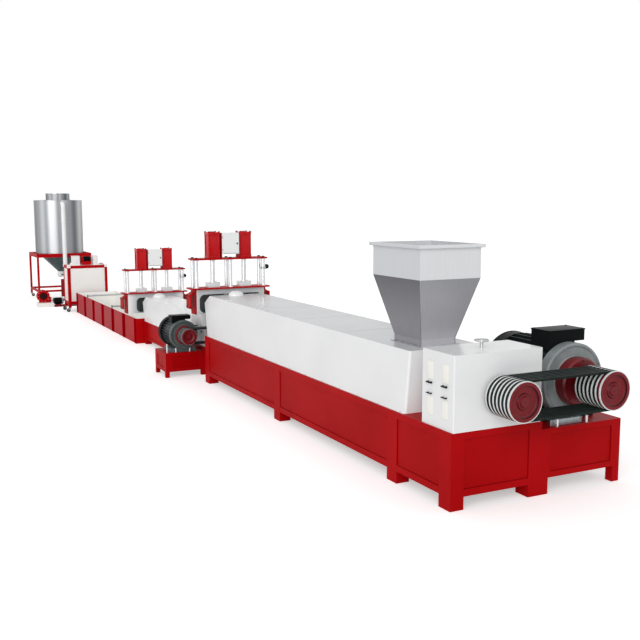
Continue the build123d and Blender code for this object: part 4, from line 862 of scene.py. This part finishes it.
for y in spaced(-0.05, 0.085, 10):
    collar(fins, motor + north * y, north, motor_radius, 0.094, 0.004, 40)
collar(end_flange, motor + south * 0.112, north, motor_radius, 0.098, 0.040, 40)
turn_profile(end_flange, motor_end, south, [(0, 0), (0.055, 0), (0.050, 0.008), (0, 0.008)], 32)
hex_bolts(panel_screws, ring_places(motor_end, south, 0.066, 6), south, 0.012, 0.006)
finish_piece("cutter_panel_screws", panel_screws, zinc_bolts)
finish_piece("cutter_box_lids", lids, white_enamel)
finish_piece("cutter_motor_fins", fins, black_enamel)
finish_piece("cutter_motor_end_flange", end_flange, red_enamel)

# Silo: seam bands, neck flange with its bolts, valve lever and pipe clamps
low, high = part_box("silo_shell")
silo = Vector(((low.x + high.x) / 2, (low.y + high.y) / 2, 0))
bands, neck_bolts, lever, clamps = shapes(4)
for z in (1.372, 2.912):
    collar(bands, silo + up * z, up, 0.6995, 0.7035, 0.026, 96)
collar(bands, silo + up * 3.131, up, 0.3445, 0.349, 0.014, 64)
collar(bands, silo + up * 2.9535, up, 0.3445, 0.372, 0.005, 64)
hex_bolts(neck_bolts, ring_places(silo + up * 2.9585, up, 0.360, 16), up, 0.012, 0.006)
collar(clamps, silo + up * 0.786, up, 0.0748, 0.100, 0.012, 40)
for z in (0.590, 1.40, 2.30):
    collar(clamps, (-9.5775, silo.y, z), up, 0.0608, 0.068, 0.028, 40)
plate(lever, silo + Vector((0.095, -0.012, 0.706)), silo + Vector((0.25, 0.012, 0.716)))
turn_profile(lever, silo + Vector((0.25, 0, 0.711)), east,
             [(0, -0.02), (0.016, -0.016), (0.018, 0.03), (0.010, 0.045), (0, 0.048)], 16)
finish_piece("silo_seam_bands", bands, silo_stainless)
finish_piece("silo_neck_bolts", neck_bolts, zinc_bolts)
finish_piece("silo_valve_lever", lever, black_rubber)
finish_piece("silo_pipe_clamps", clamps, pipe_enamel)

# Blower: a black mouth ring and disc as painted shade in its inlet, with a wire guard, cover
# bolts, and a ribbed motor with a bright band
scroll, motor = Vector((-8.0035, -1.2375, 0.293)), Vector((-7.9155, -0.9875, 0.154))
mouth, guard, cover_bolts, ribs, band = shapes(5)
guard_wire, motor_radius = 0.0025, 0.0878
collar(mouth, scroll, east, 0.0705, 0.098, 0.004, 48)
turn_profile(mouth, scroll + east * 0.002, east,
             [(0, 0), (0.0615, 0), (0.0615, 0.002), (0, 0.002)], 48)
for radius in (0.018, 0.034, 0.050, 0.066):
    hoop(guard, scroll + east * 0.011, east, radius, guard_wire, 32, 6)
hub = scroll + east * 0.0125
for turn in (pi * k / 3 for k in range(3)):
    reach = Vector((0, cos(turn), sin(turn))) * 0.067
    bar(guard, hub - reach, hub + reach, guard_wire, 8)
hex_bolts(cover_bolts, ring_places(scroll, east, 0.150, 10, pi / 10), east, 0.014, 0.006)
for y in spaced(0.05, 0.20, 11):
    collar(ribs, motor + north * y, north, motor_radius, 0.096, 0.004, 40)
collar(band, motor + north * 0.222, north, motor_radius, 0.092, 0.018, 40)
finish_piece("blower_mouth_plate", mouth, shade_black)
finish_piece("blower_wire_guard", guard, oxide_nuts)
finish_piece("blower_cover_bolts", cover_bolts, zinc_bolts)
finish_piece("blower_motor_ribs", ribs, black_enamel)
finish_piece("blower_motor_band", band, turned_steel)

# Casters: axle nuts on both sides of every wheel
axle_nuts, = shapes(1)
axle_height, half_wheel = 0.048, 0.023
for middle, half_x, half_y, trail in ((cutter, 0.260, 0.485, -0.040),
                                      (silo, 0.700, 0.765, 0.040)):
    for axle in mirrored((middle.x, middle.y + trail, axle_height), half_x, half_y):
        for way in (east, west):
            hex_bolts(axle_nuts, [axle + way * half_wheel], way, 0.018, 0.0045)
finish_piece("caster_axle_nuts", axle_nuts, zinc_bolts)

# Bases: dark red beads as painted shade along the recess edges, and small screws round the
# recessed sheets
sheet_screws, beads = shapes(2)
recess, bead, bead_height, screw_row = 0.010, 0.007, 0.003, 0.035


def edge_sheet(outward, face, low_side, high_side, low_z, high_z, screws):
    """Dark bead round one recessed sheet, as painted shade at its edges, and a row of screws
    above and below, on an upright face.
    """
    depth, across = (east, north) if outward.x else (north, east)

    def corner(along, z, reach=0.0):
        return depth * face + outward * reach + across * along + up * z

    for first, second in (((low_side, low_z), (high_side, low_z + bead)),
                          ((low_side, high_z - bead), (high_side, high_z)),
                          ((low_side, low_z), (low_side + bead, high_z)),
                          ((high_side - bead, low_z), (high_side, high_z))):
        plate(beads, corner(*first), corner(*second, bead_height), 0.001)
    hex_bolts(sheet_screws, [corner(along, z) for z in (low_z + screw_row, high_z - screw_row)
                             for along in spaced(low_side + 0.04, high_side - 0.04, screws)],
              outward, 0.012, 0.004)


main_low, main_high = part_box("extruder_base_frames")
motor_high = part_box("motor_base_frames")[1]
main_heights, second_heights = (0.197, 0.680), (0.150, 0.425)
edge_sheet(east, main_high.x - recess, -0.5555, 0.2145, *main_heights, 4)
edge_sheet(east, motor_high.x - recess, 0.4885, 1.2875, 0.225, 0.605, 4)
for low_x, high_x, count in ((9.7715, 10.5315, 4), (6.8515, 9.5815, 9), (4.1115, 6.6615, 9)):
    edge_sheet(south, main_low.y + recess, low_x, high_x, *main_heights, count)
for low_x, high_x, count in ((1.5815, 3.1915, 6), (-0.2285, 1.4315, 6)):
    edge_sheet(south, -0.5095 + recess, low_x, high_x, *second_heights, count)
    edge_sheet(north, 0.1685 - recess, low_x, high_x, *second_heights, count)
edge_sheet(north, 0.3685 - recess, 4.1115, 6.6615, *main_heights, 9)
finish_piece("base_sheet_screws", sheet_screws, base_sheet_red)
finish_piece("base_sheet_beads", beads, recess_shade_red)

# Floor and backdrop: plain and pale, and the camera sees them nearly white with a soft shadow
floor_shape = bmesh.new()
bmesh.ops.create_grid(floor_shape, x_segments=1, y_segments=1, size=60)
floor_mesh = bpy.data.meshes.new("studio_floor")
floor_shape.to_mesh(floor_mesh)
floor_shape.free()
floor = bpy.data.objects.new("studio_floor", floor_mesh)
floor.location.z = -0.001
scene.collection.objects.link(floor)
paper = bpy.data.materials.new("white_studio_paper")
paper.use_nodes = True
tree = paper.node_tree
tree.nodes.clear()
seen = add_node(tree, "ShaderNodeLightPath").outputs["Is Camera Ray"]
matt = add_node(tree, "ShaderNodeBsdfDiffuse", {"Color": linear("#F2F2F2")})
lift = add_node(tree, "ShaderNodeEmission", {"Color": linear("#FFFFFF")},
                {"Strength": maths(tree, "MULTIPLY", seen, 0.42)})
sheet = add_node(tree, "ShaderNodeAddShader", links={0: matt.outputs[0], 1: lift.outputs[0]})
add_node(tree, "ShaderNodeOutputMaterial", links={"Surface": sheet.outputs[0]})
floor_mesh.materials.append(paper)

# Light: an even white studio and one broad soft lamp from behind the camera's left shoulder
world = bpy.data.worlds.new("white_studio")
scene.world = world
world.use_nodes = True
tree = world.node_tree
tree.nodes.clear()
path = add_node(tree, "ShaderNodeLightPath").outputs
shown = maths(tree, "MAXIMUM", path["Is Camera Ray"], path["Is Glossy Ray"])
shown = maths(tree, "MAXIMUM", shown, path["Is Transmission Ray"])
strength = rescale(tree, shown, 0.0, 1.0, 0.60, 1.0)
background = add_node(tree, "ShaderNodeBackground", {"Color": linear("#FFFFFF")},
                      {"Strength": strength})
add_node(tree, "ShaderNodeOutputWorld", links={"Surface": background.outputs[0]})

lamp_data = bpy.data.lights.new("soft_key", "SUN")
lamp_data.energy = 1.7
lamp_data.angle = radians(50)
lamp = bpy.data.objects.new("soft_key", lamp_data)
lamp.rotation_euler = facing((0, 0, 0), (0.68, -0.66, 0.32)).to_euler()
scene.collection.objects.link(lamp)
